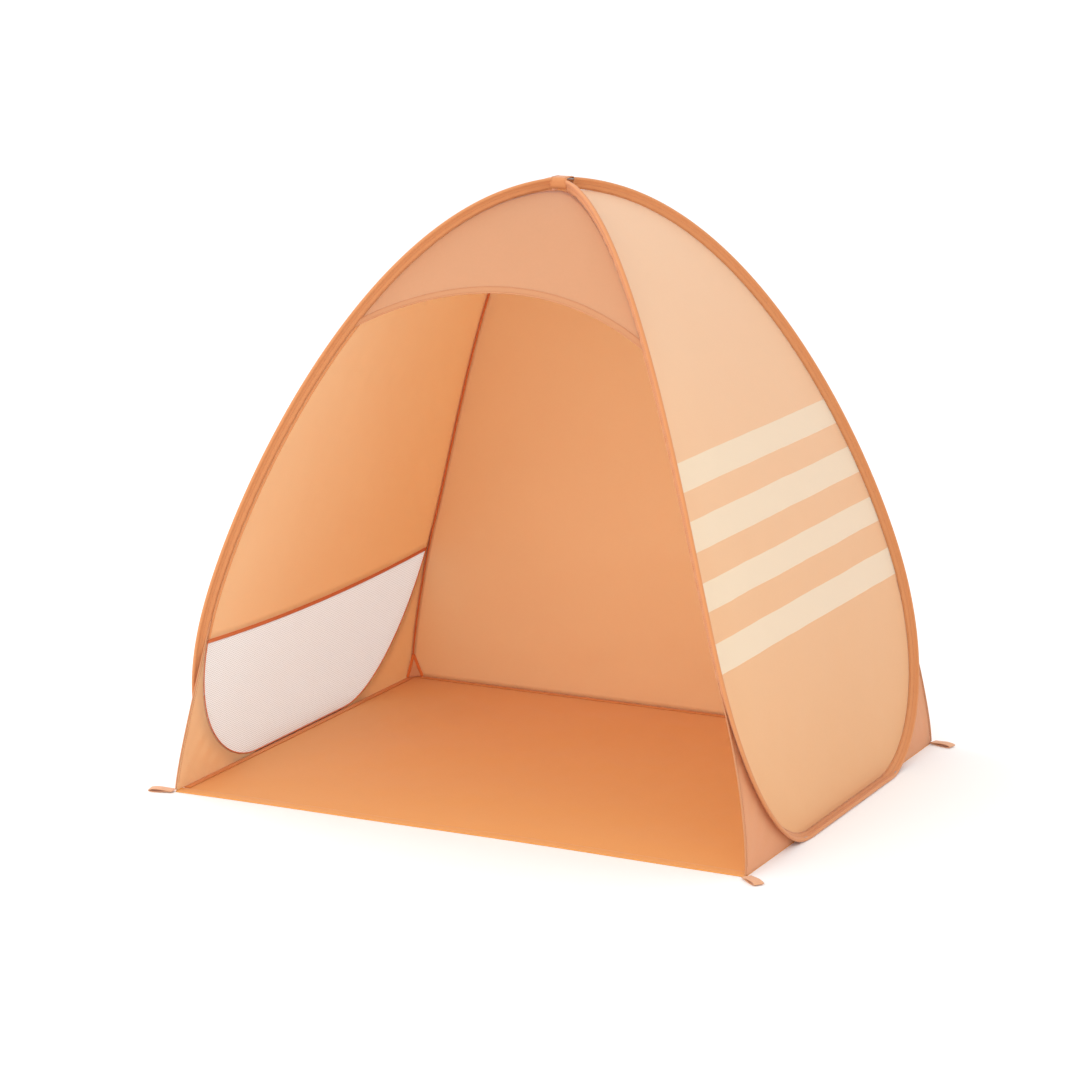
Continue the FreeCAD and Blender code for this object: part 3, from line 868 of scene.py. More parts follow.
@dataclass(frozen=True)
class KnitMesh:
    """A pale knitted mosquito mesh with rows of small holes.

    Attributes:
        name: The finish's name.
        colour: The yarn's colour.
        shade: The yarn's colour in its hollows, where it is painted darker as shade.
        row: Distance between rows of holes, in metres.
        solid: Share of the surface that is yarn.
    """

    name: str
    colour: Paint
    shade: Paint
    row: float = 0.0042
    solid: float = 0.62

    def make(self) -> bpy.types.Material:
        """Build the material."""
        nodes = Nodes(self.name)
        _, place = nodes.place()
        scale = 2 * math.pi / self.row
        up = nodes.math("SINE", nodes.math("MULTIPLY", place.outputs["Z"], scale))
        along = nodes.math("SINE", nodes.math("MULTIPLY", place.outputs["Y"], scale * 0.82))
        knit = nodes.math("MULTIPLY", up, along)
        height = nodes.math("ADD", nodes.total([(knit, 0.45), (up, 0.35)]), 0.5)
        hole = nodes.math("LESS_THAN", height, 0.12)
        opaque = nodes.math("MULTIPLY", nodes.math("SUBTRACT", 1.0, hole), 0.45)
        opaque = nodes.math("ADD", opaque, self.solid - 0.27)
        # Painted shade: the knit's hollows take the darker shade colour.
        return nodes.finish({
            "Base Color": nodes.mix(height, self.shade.linear, self.colour.linear),
            "Normal": nodes.relief(height, 0.6, 0.0004),
            "Alpha": nodes.math("MINIMUM", opaque, 1.0),
            "Roughness": 0.75, "Sheen Weight": 0.2, "Specular IOR Level": 0.2}, 0.5)


@dataclass(frozen=True)
class SpringSteel:
    """Drawn spring wire with fine lengthwise scratches."""

    name: str = "spring_steel_finish"
    colour: Paint = Paint(176, 176, 180)

    def make(self) -> bpy.types.Material:
        """Build the material."""
        nodes = Nodes(self.name)
        grain = nodes.noise(nodes.add("ShaderNodeTexCoord").outputs["Object"], 900.0)
        rough = nodes.math("ADD", nodes.math("MULTIPLY", grain, 0.2), 0.25)
        return nodes.finish({"Base Color": self.colour.linear, "Metallic": 1.0,
                             "Roughness": rough})


BANDS = ((0.340, 0.391), (0.444, 0.491), (0.541, 0.591), (0.638, 0.685))
CLOTH = Paint(243, 190, 146)
CLOTH_SHADE = Paint(236, 174, 124)


WALL, CROSS = Weave.SIDE_WALL, Weave.CROSS_WALL
FINISHES = (
    WovenCloth("side_cloth", CLOTH, CLOTH_SHADE, WALL),
    WovenCloth("corner_cloth", Paint(232, 176, 132), Paint(224, 160, 112), WALL),
    # Inner face of the side cloths and corner cloths, painted paler than their outer face as
    # painted light for the glow inside the shelter.
    WovenCloth("side_lining", Paint(252, 232, 192), Paint(249, 224, 178), WALL),
    # The right side cloth is painted paler towards its crown, as painted light.
    WovenCloth("striped_cloth", Paint(240, 197, 147), Paint(233, 185, 131), WALL,
               bands=BANDS, paler_up=0.36),
    WovenCloth("cross_cloth", CLOTH, CLOTH_SHADE, CROSS),
    # Inner face of the back wall and the fascia, painted paler than their outer face as painted
    # light for the glow inside the shelter.
    WovenCloth("back_lining", Paint(246, 215, 172), Paint(242, 205, 156), CROSS),
    WovenCloth("fascia_cloth", Paint(224, 174, 134), Paint(214, 160, 116), CROSS),
    WovenCloth("floor_cloth", Paint(236, 162, 78), Paint(226, 144, 62), Weave.FLOOR, glow=0.05),
    RibbonTape("channel_tape", Paint(223, 151, 97), Paint(206, 130, 78)),
    RibbonTape("seam_binding", Paint(235, 130, 66), Paint(220, 112, 54)),
    RibbonTape("hem_tape", Paint(210, 148, 104), Paint(196, 130, 88)),
    RibbonTape("edge_tape", Paint(232, 148, 76), Paint(216, 126, 60)),
    RibbonTape("webbing", Paint(234, 178, 138), Paint(214, 152, 110), rib=0.0016, bump=0.0002),
    RibbonTape("thread", Paint(206, 128, 82), Paint(190, 110, 66), rib=0.0006),
    RibbonTape("pale_thread", Paint(240, 190, 150), Paint(226, 170, 126), rib=0.0006),
    KnitMesh("window_mesh", Paint(252, 254, 255), Paint(216, 210, 206)),
    SpringSteel(),
)


class Wardrobe:
    """Every finish of the shelter, built once and handed out by name."""

    def __init__(self) -> None:
        """Build the materials."""
        self.made = {finish.name: finish.make() for finish in FINISHES}

    def fit(self, piece: bpy.types.Object, finish: str, replaces: str = "",
            lining: str = "") -> bpy.types.Object:
        """Dress a piece, and hide the CAD node that it stands for, if any.

        Args:
            piece: The piece.
            finish: The finish of its outer face, or of all of it.
            replaces: The CAD node that it stands for, if any.
            lining: The finish of its inner face, where that differs.

        Returns:
            The same piece.
        """
        slots = piece.data.materials
        if slots:
            slots[0], slots[1] = self.made[finish], self.made[lining or finish]
        else:
            slots.append(self.made[finish])
        if replaces:
            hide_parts(replaces)
        return piece

    def dress_node(self, node: str, name: str) -> None:
        """Give a CAD node's slots a finish."""
        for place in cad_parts[node].material_slots:
            place.material = self.made[name]


# ---------------------------------------------------------------------------------------------
# Walls
# ---------------------------------------------------------------------------------------------

@dataclass
class SideWall:
    """One side of the shelter: its cloth inside the hoop, and on the left its mesh window.

    Attributes:
        side: Which side.
        thickness: The cloth's thickness.
        seam_inset: From the seam to the cloth's edge.
        window_height: Height of the window's seam at its ends.
        window_sag: How far that seam hangs in the middle.
        window_binding: Width of the tape along it.
    """

    side: Side
    thickness: float = 0.0007
    seam_inset: float = 0.0005
    window_height: float = 0.287
    window_sag: float = 0.015
    window_binding: float = 0.0085
    rows: int = 120
    cols: int = 90

    def window_edge(self, along: Array) -> Array:
        """Return the height of the window's seam at places along Y."""
        return self.window_height - self.window_sag * (1 - (along / FORM.reach) ** 2)

    def surface(self, along: Array, level: Array, lift: Array | float = 0.0) -> Array:
        """Return points of the wall.

        Args:
            along: Places along Y.
            level: Heights.
            lift: How far the points stand out of the wall.

        Returns:
            The points, one in the last axis.
        """
        normal = FORM.side_normal(level)
        across = FORM.side_x(level) + normal[..., 0] * lift
        return np.stack([self.side.sign * across, along, level + normal[..., 1] * lift], axis=-1)

    def wall_rows(self) -> Array:
        """Return the outline's points that carry a row of cloth: a short top row, no sole."""
        run = along_path(FORM.outline()[0], ROW_SPACING)
        toe = FORM.sole_reach * 0.985
        run = run[(run[:, 1] > FORM.belly) | (run[:, 0] > toe)]
        return np.vstack([[[0.004, FORM.height - 0.0002]], run[run[:, 0] > 0.006],
                          [[toe, SKIRT_LEVEL]]])

    def teardrop(self, slack: Slack) -> Array:
        """Return a grid over the whole teardrop.

        Args:
            slack: The cloth's waves.

        Returns:
            Rows along the outline by columns by 3.
        """
        run = self.wall_rows()
        spread = np.linspace(-1.0, 1.0, self.cols)
        spread = np.sign(spread) * (1 - (1 - np.abs(spread)) ** 1.25)
        along = (run[:, :1] - self.seam_inset) * spread[None, :]
        level = np.repeat(run[:, 1:], self.cols, axis=1)
        edge = (1 - np.abs(spread))[None, :] * run[:, :1]
        fade = smooth(edge / 0.09) * smooth((level - 0.01) / 0.06)
        return self.surface(along, level, slack.waves(along, level) * fade)

    def build_panel(self, wardrobe: Wardrobe) -> list[bpy.types.Object]:
        """Build the cloth of a side with no window.

        Args:
            wardrobe: The finishes to dress them in.

        Returns:
            The new pieces.
        """
        slack = Slack(lift=0.0032, crease=0.0007, seed=11)
        piece = sheet_from_grid("right_side_cloth", self.teardrop(slack), self.thickness,
                                np.array([1.0, 0, 0.3]))
        wardrobe.fit(piece, "striped_cloth", "right_side_panel", "side_lining")
        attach(piece, self.side.body)
        declare((0.862, 1.32))
        log.info("right side cloth, one piece inside its hoop")
        return [piece]

    def window_grid(self, above: bool, slack: Slack) -> Array:
        """Return one side of the window's seam.

        Args:
            above: Whether it is the cloth above the seam, or else the mesh below it.
            slack: Its waves.

        Returns:
            Rows by columns by 3, with the seam as the shared edge.
        """
        run = self.wall_rows()
        keep = run[:, 1] > self.window_height + 0.016
        run = run[keep] if above else run[run[:, 1] < self.window_height - 0.008]
        spread = np.linspace(-1.0, 1.0, self.cols)
        half = self.window_binding / 2
        seam_along = (self.window_reach() - self.seam_inset) * spread
        seam_level = self.window_edge(seam_along) + (half * 0.9 if above else -half * 0.9)
        along = (run[:, :1] - self.seam_inset) * spread[None, :]
        level = np.repeat(run[:, 1:], self.cols, axis=1)
        dip = self.window_sag * (1 - spread ** 2)[None, :]
        near = np.abs(level - self.window_height)
        level = level - dip * np.exp(-(near / 0.10) ** 2) * (1.0 if above else 0.9)
        order = slice(None) if above else slice(None, None, -1)
        along = np.vstack([along, seam_along[None]][order])
        level = np.vstack([level, seam_level[None]][order])
        edge = (1 - np.abs(spread))[None, :] * np.abs(along).max(axis=1, keepdims=True)
        fade = smooth(edge / 0.09) * smooth((level - 0.01) / 0.06)
        fade = fade * smooth(np.abs(level - seam_level[None]) / 0.05)
        return self.surface(along, level, slack.waves(along, level) * fade)

    def window_reach(self) -> float:
        """Return half of the length of the window's seam."""
        return float(FORM.hoop_y(np.array([self.window_height]))[0])

    def build_window(self, wardrobe: Wardrobe) -> list[bpy.types.Object]:
        """Build the cloth, the mesh and the tape between them on the window's side.

        Args:
            wardrobe: The finishes to dress them in.

        Returns:
            The new pieces.
        """
        outward = np.array([-1.0, 0, 0.3])
        upper = wardrobe.fit(
            sheet_from_grid("left_side_cloth", self.window_grid(True, Slack(0.0032, 0.0007, 23)),
                            self.thickness, outward),
            "side_cloth", "left_side_panel", "side_lining")
        mesh = wardrobe.fit(
            sheet_from_grid("left_mesh", self.window_grid(False, Slack(0.0022, 0.0004, 31)),
                            0.0005, outward),
            "window_mesh", "left_mesh_window")
        tape = wardrobe.fit(self.window_tape(), "seam_binding",
                            "left_window_binding")
        threads = wardrobe.fit(self.window_stitches(), "thread")
        piping = wardrobe.fit(self.mesh_piping(), "seam_binding")
        for piece in (upper, mesh, tape, threads, piping):
            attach(piece, self.side.body)
        declare((0.862, 1.04))
        declare((0.862, 0.29))
        declare((0.86, 0.011))
        log.info("left side cloth with its mesh window")
        return [upper, mesh, tape, threads, piping]

    def mesh_piping(self) -> bpy.types.Object:
        """Return the thin piping round the mesh's curved edge, inside the hoop."""
        run = FORM.heel_table[FORM.heel_table[:, 1] < self.window_height]
        front = np.stack([-(run[:, 0] - 0.0022), run[:, 1] + 0.0006], axis=1)
        edge = np.vstack([front, front[::-1] * [-1, 1]])
        path = along_path(self.surface(edge[:, 0], edge[:, 1], -0.0009), THREAD_SPACING)
        return new_object("left_mesh_piping", *tube(path, 0.0011, 8))

    def tape_rows(self, offsets: Array) -> tuple[Array, Array]:
        """Return places and heights of the window tape's rows, at offsets from its seam."""
        along = np.linspace(-1, 1, 140) * (self.window_reach() - 0.0015)
        level = self.window_edge(along)[None] + offsets[:, None]
        return np.broadcast_to(along, level.shape), level

    def window_tape(self) -> bpy.types.Object:
        """Return the folded tape along the window's seam, wrapped over both faces."""
        oval = pressed_oval(20, (self.window_binding / 2, 0.0011), (0.45, 0.45))
        rings = self.surface(*self.tape_rows(oval[:, 0]), oval[:, 1:])
        return ring_piece("left_window_tape", rings.transpose(1, 0, 2))

    def window_stitches(self) -> bpy.types.Object:
        """Return the stitching along the window tape, on both faces."""
        offset = self.window_binding / 2 * 0.55
        along, level = self.tape_rows(np.array([offset, -offset]))
        return stitch_line("left_window_stitches",
                           [self.surface(along[row], level[row], stand)
                            for row in (0, 1) for stand in (0.00125, -0.00125)])


@dataclass
class CrossWalls:
    """The back wall and the front fascia, with the fascia's hem.

    Attributes:
        thickness: The cloth's thickness.
        seam_inset: From the seam to the cloth's edge.
        arch_foot: Height of the doorway's arch at the ribs.
        arch_rise: How much higher it is in the middle.
        hem: Width of the arch's hem.
    """

    thickness: float = 0.0007
    seam_inset: float = 0.0005
    arch_foot: float = 0.867
    arch_rise: float = 0.075
    hem: float = 0.012
    cols: int = 101

    def surface(self, end: End, across: Array, level: Array, lift: Array | float = 0.0) -> Array:
        """Return points of a front or back wall, ruled along X.

        Args:
            end: Which wall.
            across: Places along X.
            level: Heights.
            lift: How far the points stand out of the wall.

        Returns:
            The points, one in the last axis.
        """
        step = 1e-3
        high = np.minimum(level + step, FORM.height)
        slope = (FORM.wall_y(high) - FORM.wall_y(np.maximum(level - step, 0.002))) / (2 * step)
        normal = unit(np.stack([np.ones_like(slope), -slope], axis=-1))
        along = FORM.wall_y(level) + normal[..., 0] * lift
        return np.stack([across, end.value * along, level + normal[..., 1] * lift], axis=-1)

    def back_grid(self) -> Array:
        """Return the back wall's grid, from the crown down to the floor's back edge."""
        table = np.vstack([FORM.arch_table, [[FORM.half_depth, 0.002]]])
        run = along_path(table, 0.011)
        level = np.minimum(run[:, 1], FORM.height - 0.0004)
        spread = np.linspace(-1.0, 1.0, self.cols)
        half = FORM.side_x(level) - self.seam_inset
        across = half[:, None] * spread[None]
        levels = np.repeat(level[:, None], self.cols, axis=1)
        edge = (1 - np.abs(spread))[None] * half[:, None]
        fade = smooth(edge / 0.10) * smooth((levels - 0.004) / 0.08)
        waves = Slack(0.0045, 0.0010, 47).waves(across, levels)
        return self.surface(End.BACK, across, levels, waves * fade - 0.0012 * fade)

    def chord(self) -> float:
        """Return half of the width of the doorway's arch."""
        return float(FORM.side_x(np.array([self.arch_foot]))[0])

    def arch_level(self, across: Array) -> Array:
        """Return the doorway's arch.

        Args:
            across: Places along X.

        Returns:
            The arch's height there.
        """
        chord = self.chord()
        radius = (chord ** 2 + self.arch_rise ** 2) / (2 * self.arch_rise)
        centre = self.arch_foot + self.arch_rise - radius
        return centre + np.sqrt(np.maximum(radius ** 2 - across ** 2, 0.0))

    def fascia_grid(self) -> Array:
        """Return the fascia's grid, from the crown down to its hem."""
        across_low = np.linspace(-1, 1, self.cols) * (self.chord() - self.seam_inset)
        low = self.arch_level(across_low) + self.hem * 0.5
        share = np.linspace(0, 1, 46)[:, None] ** 0.9
        top = FORM.side_z(across_low) - 0.0006
        level = low[None] + (top - low)[None] * share
        across = np.broadcast_to(across_low, level.shape)
        limit = FORM.side_x(level) - self.seam_inset
        across = np.clip(across, -limit, limit)
        fade = smooth((limit - np.abs(across)) / 0.06) * smooth((level - low[None]) / 0.03)
        waves = Slack(0.0026, 0.0006, 53).waves(across, level)
        return self.surface(End.FRONT, across, level, waves * fade)

    def build_back(self, wardrobe: Wardrobe) -> list[bpy.types.Object]:
        """Build the back wall.

        Args:
            wardrobe: The finishes to dress them in.

        Returns:
            The new pieces.
        """
        piece = sheet_from_grid("back_cloth", self.back_grid(), self.thickness,
                                np.array([0, 1.0, 0.3]))
        wardrobe.fit(piece, "cross_cloth", "back_panel", "back_lining")
        fan(piece)
        declare((1.15, 1.27))
        log.info("back wall")
        return [piece]

    def hem_ring(self, across: Array) -> Array:
        """Return the rolled hem's rings along the arch.

        Args:
            across: Places of the rings along X.

        Returns:
            Rings by points by 3.
        """
        oval = pressed_oval(22, (self.hem / 2, 0.0010), (0.4, 0.45))
        level = self.arch_level(across)[:, None] + self.hem / 2 + oval[None, :, 0]
        wide = np.repeat(across[:, None], len(oval), axis=1)
        return self.surface(End.FRONT, wide, level, np.broadcast_to(oval[:, 1], level.shape))

    def build_fascia(self, wardrobe: Wardrobe) -> list[bpy.types.Object]:
        """Build the fascia over the doorway, its hem and the hem's stitching.

        Args:
            wardrobe: The finishes to dress them in.

        Returns:
            The new pieces.
        """
        cloth = sheet_from_grid("front_fascia_cloth", self.fascia_grid(), self.thickness,
                                np.array([0, -1.0, 0.3]))
        wardrobe.fit(cloth, "fascia_cloth", "front_fascia", "back_lining")
        chord = self.chord() - 0.001
        across = np.linspace(-chord, chord, 110)
        hem = wardrobe.fit(ring_piece("front_fascia_hem_tape", self.hem_ring(across)),
                           "hem_tape", "front_fascia_hem")
        paths = [self.surface(End.FRONT, across, self.arch_level(across) + up,
                              np.full(len(across), stand))
                 for up in (0.0022, self.hem - 0.0018) for stand in (0.00115, -0.00115)]
        stitches = wardrobe.fit(stitch_line("front_fascia_stitches", paths),
                                "thread")
        for piece in (cloth, hem, stitches):
            fan(piece)
        declare((0.576, 0.30))
        declare((0.605, 0.0155))
        log.info("front fascia with its arched hem")
        return [cloth, hem, stitches]


# ---------------------------------------------------------------------------------------------
# Hoops: channel tapes, gussets and bindings
# ---------------------------------------------------------------------------------------------

@dataclass
class HoopTape:
    """The channel tape of one hoop, folded round the wire, with its stitching.

    Attributes:
        side: Which hoop.
        top: Distance of the tape's two ends from the fold's plane.
        root_half: Half of its thickness where it leaves the seam.
        bulb: Half of its thickness round the wire.
        cloth: The tape's own thickness.
    """

    side: Side
    top: float = 0.0135
    root_half: float = 0.0010
    bulb: float = 0.0036
    cloth: float = 0.0007

    def centreline(self) -> tuple[Array, Array]:
        """Return the tape's whole seam, front top round to back top, and its outward directions."""
        front = FORM.seam(self.side, End.FRONT, self.top)
        back = FORM.seam(self.side, End.BACK, self.top)
        seam = np.vstack([front[0], back[0][::-1][1:]])
        outward = np.vstack([front[1], back[1][::-1][1:]])
        keep = np.concatenate([[True], np.linalg.norm(np.diff(seam, axis=0), axis=1) > 1e-6])
        seam, outward = seam[keep], outward[keep]
        near = np.clip(1 - np.abs(seam[:, 0]) / 0.080, 0.0, 1.0) * (seam[:, 2] > FORM.belly)
        seam[:, 2] += self.side.sign * np.sign(seam[:, 1]) * 0.0022 * near ** 2
        line, out, _ = set_out(seam, outward, THREAD_SPACING)
        kernel = np.ones(9) / 9
        out = np.stack([np.convolve(np.pad(out[:, k], 4, mode="edge"), kernel, "valid")
                        for k in range(3)], axis=1)
        return line, unit(out)

    def skin(self, inside: float) -> Array:
        """Return one skin of the tape's section, from one leg's foot round the wire to the other's.

        Args:
            inside: How far the skin lies inside the outer face.

        Returns:
            Pairs of distances: out from the seam, and sideways.
        """
        stand, root, bulb = FORM.wire_stand, self.root_half - inside, self.bulb - inside
        turns = np.linspace(-2.35, 2.35, 15)
        round_part = np.stack([stand + bulb * np.cos(turns), bulb * np.sin(turns)], axis=1)
        low = round_part[0]
        leg = np.array([[-0.0004, -root], [0.004, -root], [0.009, -root * 1.05],
                        [low[0] - 0.0018, low[1] * 0.62]])
        return np.vstack([leg, round_part, leg[::-1] * [1, -1]])

    def section(self) -> Array:
        """Return the tape's section: a hairpin pressed flat at the seam, round at the wire."""
        return np.vstack([self.skin(0.0), self.skin(self.cloth)[::-1]])

    def puckered(self, line: Array, out: Array, beside: Array) -> Array:
        """Return the tape's rings, with slight puckers where its seam eases round the curve.

        Args:
            line: Points of the seam.
            out: The outward directions there.
            beside: The sideways directions there.

        Returns:
            Rings by points by 3.
        """
        section = self.section()
        rings = rings_along(line, out, beside, section)
        run = np.arange(len(line)) * THREAD_SPACING * 2 * math.pi
        pucker = 0.00035 * np.sin(run / 0.031) * np.sin(run / 0.41 + 1.0)
        weight = np.clip(1 - section[:, 0] / 0.012, 0, 1)
        return rings + beside[:, None] * (pucker[:, None] * weight[None])[..., None]

    def build(self, wardrobe: Wardrobe) -> list[bpy.types.Object]:
        """Build the tape and its two lines of stitching.

        Args:
            wardrobe: The finishes to dress them in.

        Returns:
            The new pieces.
        """
        word = self.side.word
        line, out = self.centreline()
        out, beside = squared(line, out)
        rings = self.puckered(line, out, beside)
        rings[..., 2] = np.maximum(rings[..., 2], 0.0003)
        tape = wardrobe.fit(ring_piece(f"{word}_channel_tape", rings), "channel_tape",
                            f"{word}_hoop_sleeve")
        paths = []
        for out_by, half in ((0.0028, 0.00115), (0.0098, 0.00125)):
            for sign in (1, -1):
                path = line + out * out_by + beside * sign * half
                path[:, 2] = np.maximum(path[:, 2], 0.0006)
                paths.append(path)
        stitches = wardrobe.fit(stitch_line(f"{word}_channel_stitches", paths, pitch=0.0042),
                                "thread")
        for piece in (tape, stitches):
            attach(piece, self.side.body)
        length = float(np.linalg.norm(np.diff(line, axis=0), axis=1).sum())
        declare((length, 0.058))
        log.info("%s channel tape, %.2f m long", word, length)
        return [tape, stitches]


@dataclass
class Gusset:
    """A corner cloth between the hoop where it turns under and the floor's corner.

    Attributes:
        side: The corner's side.
        end: The corner's end.
        pull: How far its free edge is drawn in between its ends.
    """

    side: Side
    end: End
    thickness: float = 0.0007
    pull: float = 0.007

    def edges(self, count: int) -> tuple[Array, Array]:
        """Return the corner cloth's two long edges.

        Args:
            count: Number of points along each.

        Returns:
            The inner edge along the hoop and the outer edge to the corner, as Y and Z.
        """
        share = np.linspace(0, 1, count)
        inner = np.stack([np.interp(share, np.linspace(0, 1, 801), FORM.heel_table[:, k])
                          for k in (0, 1)], axis=1)
        inner[:, 0] += 0.0008
        split = 0.62
        down = np.clip(share / split, 0, 1)
        back = np.clip((share - split) / (1 - split), 0, 1)
        corner = np.array([FORM.half_depth - 0.001, SKIRT_LEVEL])
        toe = np.array([FORM.sole_reach + 0.001, SKIRT_LEVEL])
        top = inner[0]
        outer = np.where(share[:, None] < split, top + (corner - top) * down[:, None],
                         corner + (toe - corner) * back[:, None])
        if self.end is End.FRONT:
            bow = np.sin(math.pi * down) * self.pull
            outer[:, 0] -= np.where(share < split, bow, 0)
        return inner, outer

    def place(self, points: Array, lift: Array | float = 0.0) -> Array:
        """Return wall points for places in Y and Z on this corner."""
        wall = SideWall(self.side)
        return wall.surface(self.end.value * points[..., 0], points[..., 1], lift)

    def build(self, wardrobe: Wardrobe) -> list[bpy.types.Object]:
        """Build the gusset and the rolled edge along its free side.

        Args:
            wardrobe: The finishes to dress them in.

        Returns:
            The new pieces.
        """
        word = f"{self.end.word}_{self.side.word}"
        inner, outer = self.edges(97)
        share = np.linspace(0, 1, 26)[:, None, None]
        grid = inner[None] + (outer - inner)[None] * share
        seed = 60 + int(self.side.sign) + 3 * int(self.end.value)
        waves = Slack(0.0022, 0.0016, seed).waves(grid[..., 0] * 1.6, grid[..., 1] * 1.6)
        fade = smooth(np.sin(math.pi * share[..., 0]) * 1.3) * smooth(grid[..., 1] / 0.05)
        tight = np.linalg.norm(outer - inner, axis=1)[None]
        lift = waves * fade * smooth(tight / 0.05)
        points = self.place(grid, lift)
        cloth = sheet_from_grid(f"{word}_corner_cloth", points, self.thickness,
                                np.array([self.side.sign, 0, 0.1]))
        wardrobe.fit(cloth, "corner_cloth", f"{word}_gusset", "side_lining")
        edge = along_path(self.place(outer[:60]), THREAD_SPACING)
        roll = wardrobe.fit(new_object(f"{word}_corner_edge", *tube(edge, 0.0016, 8)),
                            "hem_tape")
        paths = [self.place(outer[:58] + np.array([-0.006, 0.0]), stand)
                 for stand in (0.0004, -0.0012)]
        stitches = wardrobe.fit(stitch_line(f"{word}_corner_stitches", paths),
                                "thread")
        for piece in (cloth, roll, stitches):
            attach(piece, self.side.body)
        declare((0.2, 0.322))
        log.info("%s corner cloth", word)
        return [cloth, roll, stitches]


@dataclass
class RibBinding:
    """The narrow tape over one rib's raw seam, inside the shelter."""

    side: Side
    end: End
    width: float = 0.008
    half: float = 0.0008
    start: float = 0.045

    def line(self) -> tuple[Array, Array]:
        """Return the binding's seam and the outward directions there, down to its lower end."""
        level = np.linspace(FORM.height, FORM.belly, 400)
        across = FORM.side_x(level)
        keep = across >= self.start
        level, across = level[keep], across[keep]
        foot, count = (0.05, 80) if self.end is End.BACK else (0.292, 12)
        low = np.linspace(FORM.belly, foot, count)[1:]
        level, across = np.concatenate([level, low]), np.concatenate([across, FORM.side_x(low)])
        depth = FORM.wall_y(level) if self.end is End.BACK else FORM.hoop_y(level)
        seam = np.stack([self.side.sign * across, self.end.value * depth, level], axis=1)
        wall = FORM.side_normal(level)
        slope = np.gradient(FORM.wall_y(level), level)
        cross = unit(np.stack([np.ones_like(slope), -slope], axis=-1))
        out = np.stack([self.side.sign * wall[:, 0], self.end.value * cross[:, 0],
                        wall[:, 1] + cross[:, 1]], axis=1)
        return seam, unit(out)

    def build(self, wardrobe: Wardrobe) -> list[bpy.types.Object]:
        """Build the binding as a thin strip with rounded edges.

        Args:
            wardrobe: The finishes to dress them in.

        Returns:
            The new pieces.
        """
        seam, out, length = set_out(*self.line(), 0.007)
        out, beside = squared(seam, unit(out))
        back = self.end is End.BACK
        wide = self.width if back else self.width * 0.55
        section = pressed_oval(14, (0.5 * wide, self.half), (0.5, 0.5))
        section[:, 0] -= 0.5 * wide + 0.0012
        word = f"{self.end.word}_{self.side.word}"
        piece = ring_piece(f"{word}_seam_tape", rings_along(seam, out, beside, section), True)
        wardrobe.fit(piece, "seam_binding" if back else "channel_tape",
                     f"{word}_seam_binding")
        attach(piece, self.side.body)
        declare((length, max(0.01, wide * 1.3)))
        log.info("%s seam binding, %.2f m long", word, length)
        return [piece]


@dataclass
class CornerPatch:
    """The small pointed reinforcement inside a back corner, held by two crossed tapes.

    Attributes:
        side: The corner's side.
        reach: How far the tapes' feet stand from the corner.
        height: Height of the point where the tapes meet.
    """

    side: Side
    reach: float = 0.026
    height: float = 0.050

    def build(self, wardrobe: Wardrobe) -> list[bpy.types.Object]:
        """Build the patch and its two tapes.

        Args:
            wardrobe: The finishes to dress them in.

        Returns:
            The new pieces.
        """
        sign = self.side.sign
        x, y = FORM.half_width, FORM.half_depth
        top_y = float(FORM.wall_y(np.array([self.height]))[0])
        top_x = float(FORM.side_x(np.array([self.height]))[0])
        apex = np.array([sign * (top_x - 0.004), top_y - 0.004, self.height])
        feet = [np.array([sign * (x - 0.003), y - self.reach, 0.004]),
                np.array([sign * (x - self.reach), y - 0.004, 0.004])]
        blocks = []
        inward = unit(np.array([[-sign, -1.0, 0.0]]))[0]
        for foot in feet:
            run = np.linspace(0, 1, 24)[:, None]
            path = apex + (foot - apex) * run + inward * 0.002
            along = unit(np.gradient(path, axis=0))
            beside = unit(np.cross(along, np.repeat(inward[None], len(path), 0)))
            section = pressed_oval(12, (0.0030, 0.0007), (0.5, 1.0))
            rings = rings_along(path, beside, np.cross(beside, along), section)
            blocks.append((rings.reshape(-1, 3), ring_faces(*rings.shape[:2])))
        tapes = wardrobe.fit(join_blocks(f"back_{self.side.word}_patch_tapes", blocks),
                             "seam_binding")
        shares = np.linspace(0, 1, 14)
        grid = np.array([[apex + (feet[0] + (feet[1] - feet[0]) * s - apex) * r + inward * 0.0008
                          for s in shares] for r in 0.04 + shares * 0.96])
        patch = sheet_from_grid(f"back_{self.side.word}_patch", grid, 0.0006, -inward)
        wardrobe.fit(patch, "cross_cloth")
        for piece in (tapes, patch):
            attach(piece, self.side.body)
        declare((0.04, 0.055))
        log.info("back %s corner patch", self.side.word)
        return [tapes, patch]


# ---------------------------------------------------------------------------------------------
# Floor, crown tab and peg loops
# ---------------------------------------------------------------------------------------------

